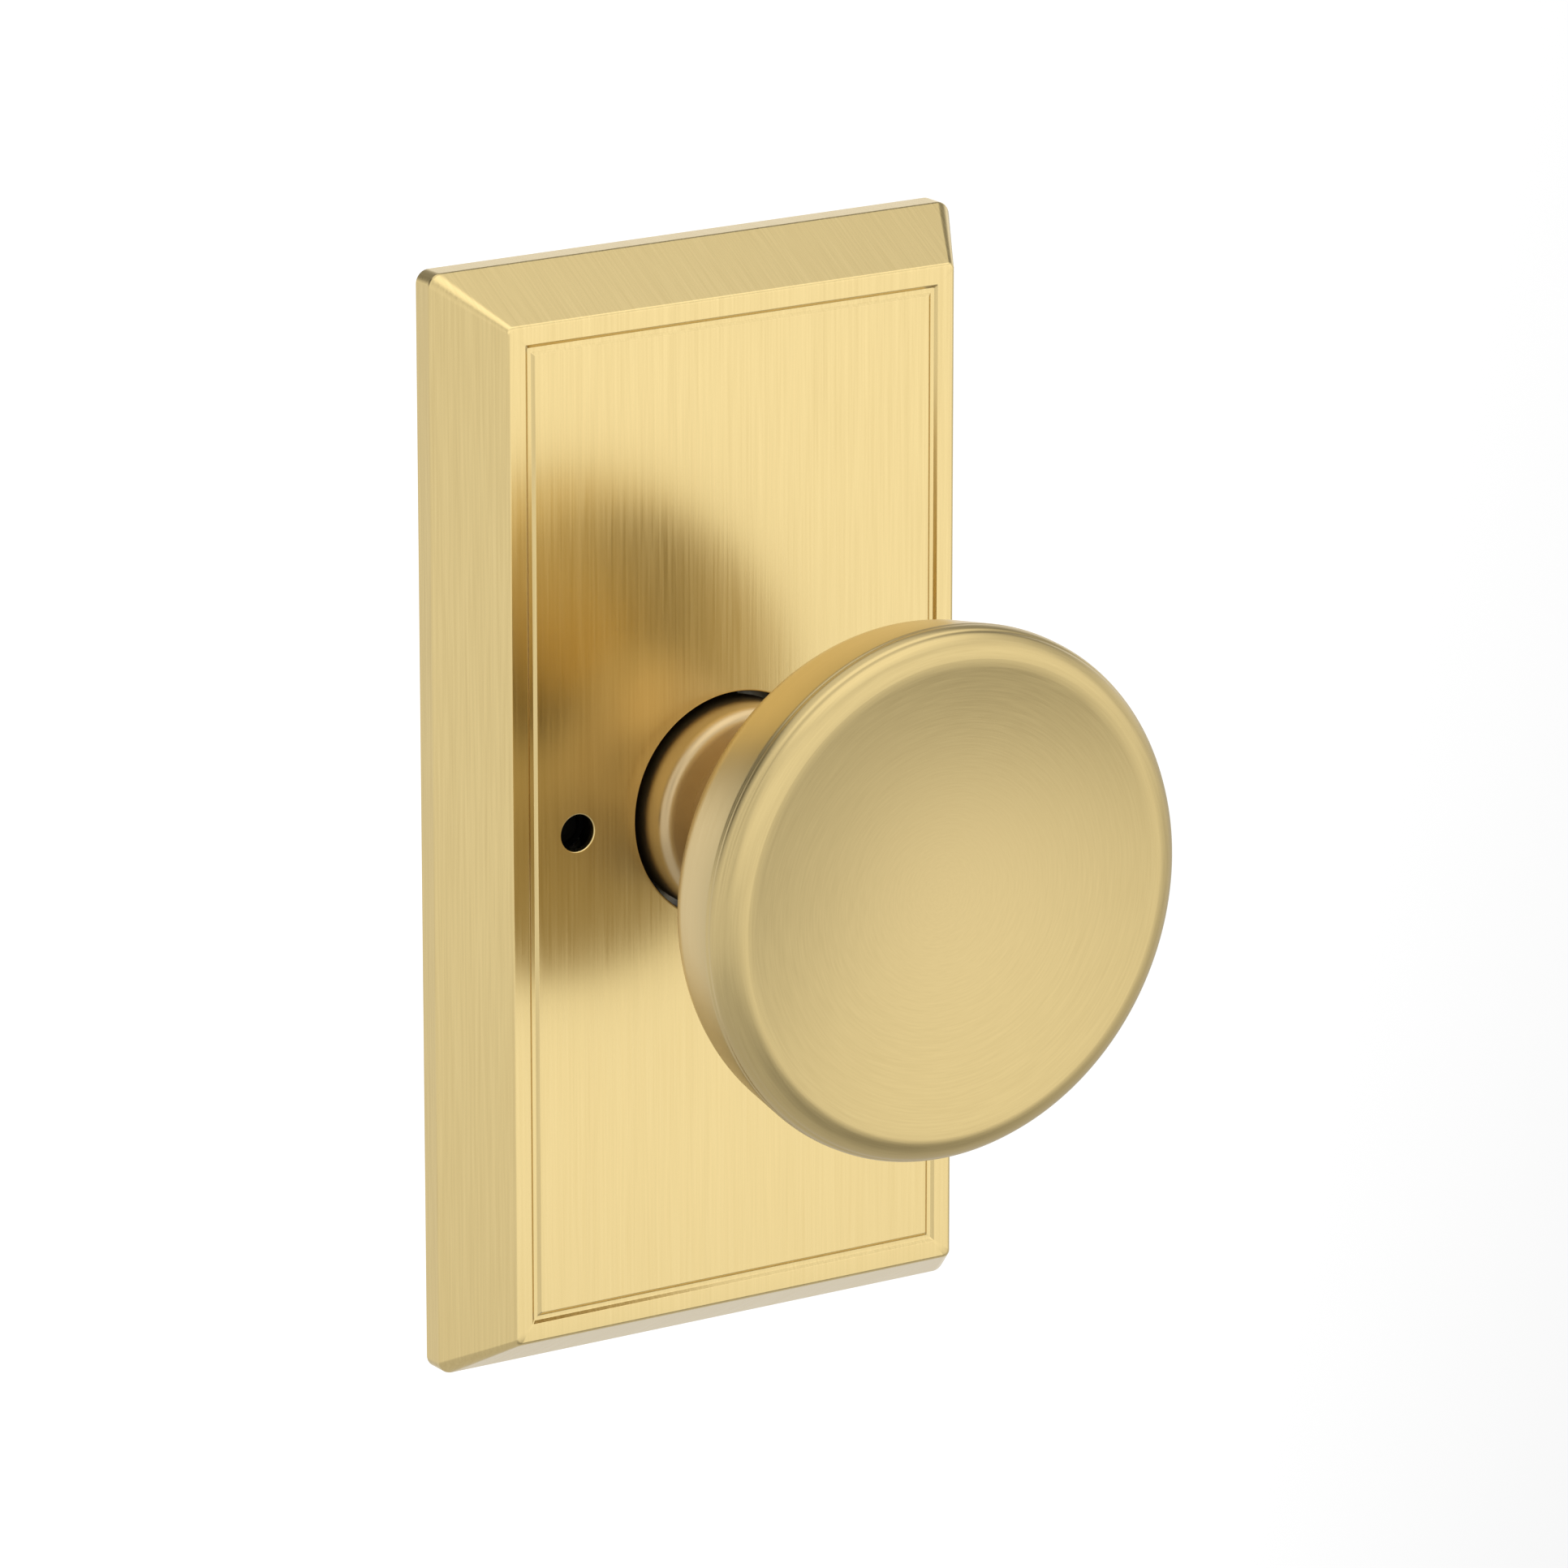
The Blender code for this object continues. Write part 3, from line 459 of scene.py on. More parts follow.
BRASS = (0.695, 0.548, 0.260, 1)
BRASS_DEEP = (0.605, 0.470, 0.215, 1)
STROKES_ACROSS, STROKES_ALONG = 3600, 70    # brush strokes in a metre
HAIRS_ACROSS, HAIRS_ALONG = 1700, 22
BEVEL_CORNER = PLATE_HALF_HEIGHT - PLATE_HALF_WIDTH
plate_brass = Finish("brushed_brass_plate", Metallic=1.0)
x, y, z = plate_brass.place()
high = z.of('ABSOLUTE')
end_bevel = (high.of('GREATER_THAN', PLATE_HALF_HEIGHT - PLATE_BEVEL)
             * (high - x.of('ABSOLUTE')).of('GREATER_THAN', BEVEL_CORNER))
side_y = y * (1 - end_bevel)
strokes = plate_brass.noise(x * STROKES_ACROSS, side_y * STROKES_ACROSS,
                            z * STROKES_ALONG + y * STROKES_ALONG, detail=2.0)
hairs = plate_brass.noise(x * HAIRS_ACROSS, side_y * HAIRS_ACROSS,
                          z * HAIRS_ALONG + y * HAIRS_ALONG, w=7.0, detail=1.0)
tone = plate_brass.fade(strokes * 0.8 + hairs * 0.2, 0.3, 0.7)
plate_brass.feed("Base Color", plate_brass.blend(tone, BRASS_DEEP, BRASS))
plate_brass.feed("Roughness", plate_brass.fade(strokes, 0.3, 0.7, 0.2, 0.27))
plate_brass.feed("Normal", plate_brass.bump(strokes, 0.005 * MM))
plate.data.materials.append(plate_brass.material)
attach(plate, "rose")
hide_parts("escutcheon_plate")


# ---------------------------------------------------------------------------------------
# Knob. A drawn brass shell in one sweep: dished face, tight rim with two soft hollows, tapered
# side, round shoulder, conical back and a flare to the neck. Spun and brushed in circles.
# ---------------------------------------------------------------------------------------
KNOB_DEPTH = -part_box("knob_shell")[0].y
KNOB_RADIUS = 30.8 * MM
KNOB_DISH = 3.0 * MM        # the face is this much lower in its middle than at its edge
DISH_STEPS = 24
RIM_ROUND = 3.3 * MM
RIM_STEPS = 72
RIM_LINES = (30.0, 3.0)     # two soft hollows round the rim, in degrees forward of its side
LINE_HALF = 4.5
LINE_DEPTH = 0.075 * MM
TAPER = math.radians(9.5)
TAPER_END = 47.0 * MM
SHOULDER_ROUND = 6.5 * MM
CONE = math.radians(50)
NECK_RADIUS = 9.0 * MM
NECK_START = 18.3 * MM
KNOB_WALL = 1.0 * MM


def arc(centre, radius, start, end, steps):
    """Points round a centre in the (radius, depth) plane, angles in degrees."""
    points = []
    for step in range(steps + 1):
        angle = math.radians(start + (end - start) * step / max(steps, 1))
        points.append((centre[0] + radius * math.cos(angle),
                       centre[1] + radius * math.sin(angle)))
    return points


def lathe(name, outline, steps=128, axis=(0, 0), closed=True):
    """Turns an outline of (radius, depth) points round an axis that runs along Y."""
    bpy.ops.object.select_all(action='DESELECT')
    bpy.ops.mesh.primitive_plane_add(size=MM, location=(0, 0, 0))
    piece = bpy.context.object
    piece.name = name
    edit()
    bpy.ops.mesh.merge(type='CENTER')
    start = Vector((axis[0] + outline[0][0], -outline[0][1], axis[1]))
    bpy.ops.transform.translate(value=start)
    loop = outline + [outline[0]] if closed else outline
    for first, second in zip(loop, loop[1:]):
        move = (second[0] - first[0], first[1] - second[1], 0)
        bpy.ops.mesh.extrude_vertices_move(TRANSFORM_OT_translate={"value": move})
    bpy.ops.mesh.select_all(action='SELECT')
    bpy.ops.mesh.spin(steps=steps, angle=math.tau, center=(axis[0], 0, axis[1]),
                      axis=(0, 1, 0))
    bpy.ops.mesh.select_all(action='SELECT')
    bpy.ops.mesh.remove_doubles(threshold=TOUCH / 4)
    bpy.ops.mesh.normals_make_consistent(inside=False)
    return done(piece)


rim_centre = (KNOB_RADIUS - RIM_ROUND, KNOB_DEPTH - RIM_ROUND)
taper = math.degrees(TAPER)
cone = math.degrees(CONE)
side_radius = (rim_centre[0] + RIM_ROUND * math.cos(TAPER)
               - (rim_centre[1] - RIM_ROUND * math.sin(TAPER) - TAPER_END) * math.tan(TAPER))
shoulder = (side_radius - SHOULDER_ROUND * math.cos(TAPER),
            TAPER_END + SHOULDER_ROUND * math.sin(TAPER))
cone_start = arc(shoulder, SHOULDER_ROUND, -cone, -cone, 0)[0]
slope = math.tan(CONE)
flare = ((cone_start[1] - NECK_START - (cone_start[0] - NECK_RADIUS) / slope)
         / (math.sin(CONE) - (1 - math.cos(CONE)) / slope))


def shell_outline(inward, lines):
    """The shell from the middle of its face to its neck, with soft hollows round the rim."""
    points = []
    for step in range(DISH_STEPS):
        share = step / DISH_STEPS
        points.append((rim_centre[0] * share,
                       KNOB_DEPTH - inward - KNOB_DISH * (1 - share ** 2)))
    for step in range(RIM_STEPS + 1):
        angle = 90 - (90 + taper) * step / RIM_STEPS
        hollow = sum(math.exp(-((angle - line) / LINE_HALF) ** 2) for line in lines)
        points += arc(rim_centre, RIM_ROUND - inward - LINE_DEPTH * hollow, angle, angle, 0)
    points += arc(shoulder, SHOULDER_ROUND - inward, -taper, -cone, 14)
    return points + arc((NECK_RADIUS + flare, NECK_START), flare + inward, 180 - cone, 180, 24)


outline = shell_outline(0, RIM_LINES) + shell_outline(KNOB_WALL, ())[::-1]
knob = lathe("brass_knob", outline, steps=192, closed=False)

# The front's brass is set darker than the plate's same brass, as painted shade for the dimmer
# reflection in the knob's face. The neck colour, darker and redder, is painted shade for the dim
# reflections between the knob's back, its neck, the collar and the plate. The bowl colour, lighter,
# is painted light on the bowl and side.
KNOB_BRASS = (0.55, 0.432, 0.202, 1)
KNOB_BRASS_DEEP = (0.49, 0.380, 0.174, 1)
PAINTED_SHADE_NECK = (0.50, 0.372, 0.198, 1)
PAINTED_LIGHT_BOWL = (0.66, 0.515, 0.255, 1)
BOWL_START, BOWL_END = 26.0 * MM, 36.0 * MM
SIDE_START, SIDE_END = 48.0 * MM, 57.0 * MM
CIRCLES_ACROSS = 4600       # turning marks in a metre
CIRCLES_ROUND = 5
AXIS_GUARD = 0.01 * MM      # keeps the axis itself from dividing by nothing


def turned_brass(name, roughness):
    """Satin brass with fine strokes round the spindle's axis: darker, redder painted shade at the
    neck and back, lighter painted light on the bowl, and the front's own brass.
    """
    brass = Finish(name, Metallic=1.0)
    x, y, z = brass.place()
    radius = (x * x + z * z) ** 0.5
    round_x = x / (radius + AXIS_GUARD) * CIRCLES_ROUND
    round_z = z / (radius + AXIS_GUARD) * CIRCLES_ROUND
    circles = brass.noise(radius * CIRCLES_ACROSS, y * CIRCLES_ACROSS, round_x, w=round_z,
                          detail=2.0)
    tone = brass.fade(circles, 0.25, 0.75)
    depth = y * -1.0
    # Painted shade at the neck and back, turning by depth to painted light on the bowl.
    back = brass.blend(brass.rise(depth, BOWL_START, BOWL_END), PAINTED_SHADE_NECK, PAINTED_LIGHT_BOWL)
    front = brass.blend(tone, KNOB_BRASS_DEEP, KNOB_BRASS)
    colour = brass.blend(brass.rise(depth, SIDE_START, SIDE_END), back, front)
    brass.feed("Base Color", colour)
    brass.feed("Roughness", brass.fade(circles, 0.3, 0.7, roughness, roughness + 0.07))
    brass.feed("Normal", brass.bump(circles, 0.004 * MM))
    return brass


knob_brass = turned_brass("brushed_brass_knob", 0.29)
knob.data.materials.append(knob_brass.material)
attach(knob, "knob")
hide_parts("knob_shell")


# ---------------------------------------------------------------------------------------
# Neck collar. A turned brass ring in the plate's hole, with a rounded shoulder, a flat front
# and a short neck that meets the knob's shell.
# ---------------------------------------------------------------------------------------
COLLAR_RADIUS = 12.6 * MM
COLLAR_ROUND = 1.6 * MM
COLLAR_FRONT = 16.2 * MM
COLLAR_BACK = -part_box("neck_collar")[1].y
COLLAR_EDGE = 0.4 * MM
TUBE_CLEAR = 7.3 * MM
SEAM = 0.03 * MM
outline = [(NECK_RADIUS, NECK_START - SEAM), (NECK_RADIUS, COLLAR_FRONT)]
outline += arc((COLLAR_RADIUS - COLLAR_ROUND, COLLAR_FRONT - COLLAR_ROUND), COLLAR_ROUND,
               90, 0, 14)
outline += [(COLLAR_RADIUS, COLLAR_BACK + COLLAR_EDGE),
            (COLLAR_RADIUS - COLLAR_EDGE, COLLAR_BACK),
            (TUBE_CLEAR, COLLAR_BACK), (TUBE_CLEAR, NECK_START - SEAM)]
collar = lathe("brass_collar", outline, steps=160)
# The collar takes the knob's brass, and with it the neck's painted shade.
collar.data.materials.append(knob_brass.material)
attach(collar, "knob")
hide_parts("neck_collar")


# ---------------------------------------------------------------------------------------
# Backing frame. A sheet of black moulded plastic that lies on the door round its bore, with
# the fine spark-eroded grain of its tool.
# ---------------------------------------------------------------------------------------
BLACK = (0.008, 0.008, 0.0085, 1)
BLACK_WORN = (0.016, 0.016, 0.0165, 1)


def coat(node, finish):
    """Gives a node its finish."""
    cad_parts[node].data.materials.clear()
    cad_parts[node].data.materials.append(finish.material)


black_moulding = Finish("black_moulding", Specular_IOR_Level=0.28)
x, y, z = black_moulding.place()
grain = black_moulding.noise(x * 2200, y * 2200, z * 2200, detail=2.0)
flow = black_moulding.noise(x * 40, y * 40, z * 25, w=3.0, detail=1.0)
black_moulding.feed("Base Color", black_moulding.blend(
    black_moulding.fade(grain * 0.5 + flow * 0.5, 0.35, 0.7), BLACK, BLACK_WORN))
black_moulding.feed("Roughness", black_moulding.fade(flow, 0.3, 0.7, 0.46, 0.6))
black_moulding.feed("Normal", black_moulding.bump(grain, 0.03 * MM))
coat("backing_frame", black_moulding)


# ---------------------------------------------------------------------------------------
# Plate clips. Four leaf springs of blued strip steel on the backing, bent to a foot and a
# leaning leg that grips the inside of the plate's rim.
# ---------------------------------------------------------------------------------------
SPRING_GREY = (0.24, 0.245, 0.26, 1)
SPRING_BLUE = (0.15, 0.165, 0.21, 1)


def blued_steel(name, across, along):
    """Hardened strip or wire: dark blue grey, with drawing marks along it."""
    steel = Finish(name, Metallic=1.0)
    x, y, z = steel.place()
    marks = steel.noise(x * across, y * across, z * along, detail=2.0)
    heat = steel.noise(x * 160, y * 160, z * 160, w=2.0, detail=1.0)
    steel.feed("Base Color", steel.blend(steel.fade(marks * 0.5 + heat * 0.5, 0.35, 0.65),
                                         SPRING_BLUE, SPRING_GREY))
    steel.feed("Roughness", steel.fade(marks, 0.3, 0.7, 0.26, 0.38))
    steel.feed("Normal", steel.bump(marks, 0.004 * MM))
    return steel


strip_steel = blued_steel("spring_strip", 600, 4500)
for label in ("right_upper", "left_upper", "left_lower", "right_lower"):
    coat("plate_clip_" + label, strip_steel)


# ---------------------------------------------------------------------------------------
# Mounting plate. A stamped disc of zinc-plated steel that the through-screws pull against
# the door, with holes for the bushing, the posts, the release guide and the cage's screws.
# ---------------------------------------------------------------------------------------
ZINC = (0.60, 0.615, 0.625, 1)
ZINC_YELLOW = (0.56, 0.545, 0.47, 1)
MOUNT_EDGE = 0.25 * MM
CAGE_SCREW_HOLE = 1.8 * MM
POST_HOLE = 2.8 * MM
GUIDE_HOLE = 3.3 * MM
BUSHING_HOLE = 9.3 * MM
POST_RADIUS = 4.0 * MM
POST_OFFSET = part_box("threaded_post_upper")[1].z - POST_RADIUS
CAGE_SCREW_CIRCLE = 21.5 * MM


def zinc_plate(name):
    """Bright zinc over rolled steel: pale grey, with faint yellow clouds and a soft grain."""
    zinc = Finish(name, Metallic=1.0)
    x, y, z = zinc.place()
    clouds = zinc.noise(x * 70, y * 70, z * 70, detail=3.0)
    grain = zinc.noise(x * 1500, y * 1500, z * 380, w=5.0, detail=2.0)
    zinc.feed("Base Color", zinc.blend(zinc.fade(clouds, 0.35, 0.75), ZINC, ZINC_YELLOW))
    zinc.feed("Roughness", zinc.fade(grain * 0.5 + clouds * 0.5, 0.3, 0.7, 0.28, 0.42))
    zinc.feed("Normal", zinc.bump(grain, 0.008 * MM))
    return zinc


mount_low, mount_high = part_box("mounting_plate")
mount_back, mount_front = -mount_high.y, -mount_low.y
mount = rod(mount_high.x, 0, 0, mount_front, mount_back, 144)
mount.name = "steel_mounting_plate"
holes = [(BUSHING_HOLE, 0, 0, 64), (POST_HOLE, 0, POST_OFFSET, 32),
         (POST_HOLE, 0, -POST_OFFSET, 32), (GUIDE_HOLE, RELEASE_X, 0, 40)]
for degrees in (45, 135, 225, 315):
    holes.append((CAGE_SCREW_HOLE, CAGE_SCREW_CIRCLE * math.cos(math.radians(degrees)),
                  CAGE_SCREW_CIRCLE * math.sin(math.radians(degrees)), 28))
for radius, x, z, steps in holes:
    cut(mount, rod(radius, x, z, mount_front + MM, mount_back - MM, steps))
settle(mount, 'BEVEL', width=MOUNT_EDGE, segments=2, limit_method='ANGLE',
       angle_limit=math.radians(60))
only(mount)
bpy.ops.object.shade_smooth_by_angle(angle=math.radians(32))
zinc_disc = zinc_plate("zinc_disc")
mount.data.materials.append(zinc_disc.material)
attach(mount, "rose")
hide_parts("mounting_plate")


# ---------------------------------------------------------------------------------------
# Threaded posts. Two round steel posts, turned, tapped and zinc plated, with a thin tenon
# each that is headed over on the front of the mounting plate.
# ---------------------------------------------------------------------------------------
POST_EDGE = 0.5 * MM
POST_HEAD_RADIUS = 3.6 * MM
POST_HEAD = 0.8 * MM
TENON_RADIUS = 2.5 * MM
THREAD_RADIUS = 1.8 * MM
THREAD_PITCH = 0.8 * MM
THREAD_COUNT = 19
THREAD_HEIGHT = 0.3 * MM
FIT_GAP = 0.3 * MM
post_back = -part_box("threaded_post_upper")[1].y
post_seat = mount_front + FIT_GAP
outline = [(0, post_seat + POST_HEAD)]
outline += arc((POST_HEAD_RADIUS - POST_EDGE, post_seat + POST_HEAD - POST_EDGE), POST_EDGE,
               90, 0, 5)
outline += [(POST_HEAD_RADIUS, post_seat), (TENON_RADIUS, post_seat),
            (TENON_RADIUS, mount_back - FIT_GAP)]
outline += arc((POST_RADIUS - POST_EDGE / 2, mount_back - FIT_GAP - POST_EDGE / 2),
               POST_EDGE / 2, 90, 0, 3)
outline += [(POST_RADIUS, post_back + POST_EDGE), (POST_RADIUS - POST_EDGE, post_back),
            (THREAD_RADIUS + THREAD_HEIGHT, post_back)]
for thread in range(THREAD_COUNT):
    start = post_back + THREAD_PITCH * (thread + 0.5)
    outline += [(THREAD_RADIUS, start), (THREAD_RADIUS + THREAD_HEIGHT, start + THREAD_PITCH / 2)]
outline += [(THREAD_RADIUS, post_back + THREAD_PITCH * (THREAD_COUNT + 0.5)),
            (0, post_back + THREAD_PITCH * (THREAD_COUNT + 0.5) + MM)]
upper_post = lathe("steel_post_upper", outline, steps=56, axis=(0, POST_OFFSET), closed=False)


def again(piece, name, x=0.0, z=0.0):
    """A copy with its own mesh, moved over."""
    copy = piece.copy()
    copy.data = piece.data.copy()
    copy.name = name
    scene.collection.objects.link(copy)
    copy.location = (x, 0, z)
    only(copy)
    bpy.ops.object.transform_apply(location=True, rotation=False, scale=False)
    return copy


def turned_steel(name, light, dark, centre_x=0.0, centre_z=0.0):
    """Turned steel: fine rings left by the tool, round an axis along Y."""
    steel = Finish(name, Metallic=1.0)
    x, y, z = steel.place()
    radius = ((x - centre_x) ** 2 + (z - centre_z) ** 2) ** 0.5
    rings = steel.noise(radius * 5200, y * 5200, 0.0, detail=2.0)
    stain = steel.noise(x * 150, y * 150, z * 150, w=6.0, detail=2.0)
    steel.feed("Base Color", steel.blend(steel.fade(rings * 0.5 + stain * 0.5, 0.35, 0.65),
                                         dark, light))
    steel.feed("Roughness", steel.fade(rings * 0.6 + stain * 0.4, 0.3, 0.7, 0.25, 0.4))
    steel.feed("Normal", steel.bump(rings, 0.008 * MM))
    return steel


lower_post = again(upper_post, "steel_post_lower", z=-2 * POST_OFFSET)
for post, node, side in ((upper_post, "threaded_post_upper", 1),
                         (lower_post, "threaded_post_lower", -1)):
    post.data.materials.append(turned_steel("zinc_" + node, ZINC, ZINC_YELLOW, 0.0,
                                            side * POST_OFFSET).material)
    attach(post, "rose")
    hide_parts(node)


# ---------------------------------------------------------------------------------------
# Spring cage. A pressed cup of zinc-plated steel with four ears and two stops, which houses
# the return spring and limits the cam. It is packed and smeared with dark grease.
# ---------------------------------------------------------------------------------------
GREASE = (0.020, 0.014, 0.009, 1)
GREASE_THICK = (0.008, 0.006, 0.004, 1)
greased = Finish("greased_steel", Specular_IOR_Level=0.1)
x, y, z = greased.place()
smears = greased.noise(x * 260, y * 260, z * 260, detail=3.0)
greased.feed("Base Color", greased.blend(greased.fade(smears, 0.35, 0.65), GREASE, GREASE_THICK))
greased.feed("Roughness", greased.fade(smears, 0.3, 0.7, 0.5, 0.7))
greased.feed("Normal", greased.bump(smears, 0.05 * MM))
coat("spring_cage", greased)


# ---------------------------------------------------------------------------------------
# Cage screws. Four zinc-plated pan heads with a cross recess, driven through the cage's ears
# into the mounting plate.
# ---------------------------------------------------------------------------------------
SCREW_RADIUS = 1.5 * MM
SCREW_HEAD_RADIUS = 2.6 * MM
SCREW_HEAD = 1.3 * MM
SCREW_ROUND = 0.9 * MM
SCREW_PITCH = 0.5 * MM
SCREW_THREAD = 0.18 * MM
RECESS_LONG = 2.9 * MM
RECESS_WIDE = 0.62 * MM
RECESS_DEEP = 0.8 * MM
SCREW_TIP_EDGE = 0.4 * MM
screw_low, screw_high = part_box("cage_screw_1")
screw_top, screw_tip = -screw_low.y, -screw_high.y
screw_seat = screw_top - SCREW_HEAD
screw_x = (screw_low.x + screw_high.x) / 2
screw_z = (screw_low.z + screw_high.z) / 2
outline = [(0, screw_top)]
outline += arc((SCREW_HEAD_RADIUS - SCREW_ROUND, screw_top - SCREW_ROUND), SCREW_ROUND, 90, 0, 8)
outline += [(SCREW_HEAD_RADIUS, screw_seat), (SCREW_RADIUS, screw_seat)]
turns = int((screw_seat - screw_tip - SCREW_TIP_EDGE) / SCREW_PITCH)
for turn in range(turns):
    start = screw_seat - SCREW_PITCH * (turn + 0.5)
    outline += [(SCREW_RADIUS - SCREW_THREAD, start), (SCREW_RADIUS, start - SCREW_PITCH / 2)]
outline += [(SCREW_RADIUS - SCREW_TIP_EDGE, screw_tip), (0, screw_tip)]
first_screw = lathe("cage_screw_right_upper", outline, steps=40, axis=(screw_x, screw_z),
                    closed=False)
for turn in (0, math.pi / 2):
    bpy.ops.object.select_all(action='DESELECT')
    bpy.ops.mesh.primitive_cube_add(size=1, location=(screw_x, -screw_top, screw_z),
                                    scale=(RECESS_LONG, 2 * RECESS_DEEP, RECESS_WIDE),
                                    rotation=(0, turn, 0))
    recess = bpy.context.object
    bpy.ops.object.transform_apply(location=True, rotation=True, scale=True)
    edit()
    pick(lambda vert: vert.co.y > -screw_top)
    bpy.ops.transform.resize(value=(0.5, 1, 0.5), center_override=(screw_x, 0, screw_z))
    bpy.ops.object.mode_set(mode='OBJECT')
    cut(first_screw, recess)
only(first_screw)
bpy.ops.object.shade_smooth_by_angle(angle=math.radians(32))
zinc_screw = zinc_plate("zinc_screw")
first_screw.data.materials.append(zinc_screw.material)
screws = [first_screw, again(first_screw, "cage_screw_left_upper", x=-2 * screw_x),
          again(first_screw, "cage_screw_left_lower", x=-2 * screw_x, z=-2 * screw_z),
          again(first_screw, "cage_screw_right_lower", z=-2 * screw_z)]
for number, screw in enumerate(screws, start=1):
    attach(screw, "rose")
    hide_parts("cage_screw_%d" % number)


# ---------------------------------------------------------------------------------------
# Hub bushing. A sintered bronze bearing, soaked in oil and pressed into the mounting plate,
# that the shank tube turns in.
# ---------------------------------------------------------------------------------------
BRONZE = (0.42, 0.27, 0.13, 1)
BRONZE_OILED = (0.22, 0.135, 0.065, 1)
BUSHING_RADIUS = 9.0 * MM
BUSHING_FLANGE = 9.9 * MM
BUSHING_FLANGE_THICK = 0.4 * MM
BUSHING_EDGE = 0.2 * MM
bushing_low, bushing_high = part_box("hub_bushing")
bushing_front, bushing_back = -bushing_low.y, -bushing_high.y
outline = [(BUSHING_RADIUS - BUSHING_EDGE, bushing_front),
           (BUSHING_RADIUS, bushing_front - BUSHING_EDGE),
           (BUSHING_RADIUS, post_seat + BUSHING_FLANGE_THICK),
           (BUSHING_FLANGE, post_seat + BUSHING_FLANGE_THICK), (BUSHING_FLANGE, post_seat),
           (BUSHING_RADIUS, post_seat), (BUSHING_RADIUS, bushing_back + BUSHING_EDGE),
           (BUSHING_RADIUS - BUSHING_EDGE, bushing_back), (TUBE_CLEAR + BUSHING_EDGE, bushing_back),
           (TUBE_CLEAR, bushing_back + BUSHING_EDGE), (TUBE_CLEAR, bushing_front - BUSHING_EDGE),
           (TUBE_CLEAR + BUSHING_EDGE, bushing_front)]
bushing = lathe("bronze_bushing", outline, steps=96)


def sintered_bronze(name):
    """Oiled bronze: brown, with the open pores of pressed powder."""
    bronze = Finish(name, Metallic=1.0)
    x, y, z = bronze.place()
    pores = bronze.noise(x * 3800, y * 3800, z * 3800, detail=3.0)
    oil = bronze.noise(x * 190, y * 190, z * 190, w=8.0, detail=2.0)
    share = bronze.fade(pores * 0.5 + oil * 0.5, 0.38, 0.66)
    bronze.feed("Base Color", bronze.blend(share, BRONZE_OILED, BRONZE))
    bronze.feed("Roughness", bronze.fade(pores, 0.3, 0.7, 0.55, 0.38))
    bronze.feed("Normal", bronze.bump(pores, 0.02 * MM))
    return bronze


bushing.data.materials.append(sintered_bronze("oiled_bronze").material)
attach(bushing, "rose")
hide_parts("hub_bushing")


# ---------------------------------------------------------------------------------------
# Return spring. A torsion coil of 0.8 mm music wire round the bushing, with a leg on each
# side of the cam's ear.
# ---------------------------------------------------------------------------------------
coat("return_spring", blued_steel("spring_wire", 900, 2500))


# ---------------------------------------------------------------------------------------
# Release guide. A flanged bronze sleeve behind the plate's small hole, that the release pin slides
# in. It is painted near black, as painted shade, so that the hole looks dark.
# ---------------------------------------------------------------------------------------
# Near-black painted shade for the guide and the pin, which sit in the shade behind the plate's
# small hole. The two blacks vary at random with the pores.
HOLE_SHADE_BLACK = (0.0015, 0.0013, 0.001, 1)
HOLE_SHADE_DARK = (0.005, 0.0045, 0.004, 1)
black_guide_shade = Finish("guide_bronze_painted_shade", Metallic=0.0, Specular_IOR_Level=0.05)
x, y, z = black_guide_shade.place()
pores = black_guide_shade.noise(x * 3800, y * 3800, z * 3800, detail=3.0)
black_guide_shade.feed("Base Color", black_guide_shade.blend(black_guide_shade.fade(pores, 0.4, 0.7), HOLE_SHADE_BLACK, HOLE_SHADE_DARK))
black_guide_shade.feed("Roughness", black_guide_shade.fade(pores, 0.3, 0.7, 0.7, 0.85))
black_guide_shade.feed("Normal", black_guide_shade.bump(pores, 0.02 * MM))
coat("release_guide", black_guide_shade)


# ---------------------------------------------------------------------------------------
# Release pin, its clip and its spring. A black-oxided steel plunger with a headed end under the
# plate's hole, kept in the guide by an e-clip and pushed forward by a small coil. Its black is
# deepened to near black as painted shade in the hole.
# ---------------------------------------------------------------------------------------
PIN_HEAD_RADIUS = 2.2 * MM
PIN_HEAD_EDGE = 0.5 * MM
PIN_RADIUS = 1.4 * MM
PIN_HEAD_BACK = 6.8 * MM
PIN_GROOVE_FRONT = -2.6 * MM
PIN_GROOVE_BACK = -3.4 * MM
PIN_GROOVE_RADIUS = 1.0 * MM
PIN_TIP_RADIUS = 0.7 * MM
PIN_TIP_TAPER = 1.0 * MM
pin_low, pin_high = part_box("release_pin")
pin_front, pin_tip = -pin_low.y, -pin_high.y
outline = [(0, pin_front)]
outline += arc((PIN_HEAD_RADIUS - PIN_HEAD_EDGE, pin_front - PIN_HEAD_EDGE), PIN_HEAD_EDGE,
               90, 0, 5)
outline += [(PIN_HEAD_RADIUS, PIN_HEAD_BACK), (PIN_RADIUS, PIN_HEAD_BACK),
            (PIN_RADIUS, PIN_GROOVE_FRONT), (PIN_GROOVE_RADIUS, PIN_GROOVE_FRONT),
            (PIN_GROOVE_RADIUS, PIN_GROOVE_BACK), (PIN_RADIUS, PIN_GROOVE_BACK),
            (PIN_RADIUS, pin_tip + PIN_TIP_TAPER)]
outline += arc((0, pin_tip + PIN_TIP_RADIUS), PIN_TIP_RADIUS, -25, -90, 4)
release_pin = lathe("black_release_pin", outline, steps=48, axis=(RELEASE_X, 0), closed=False)
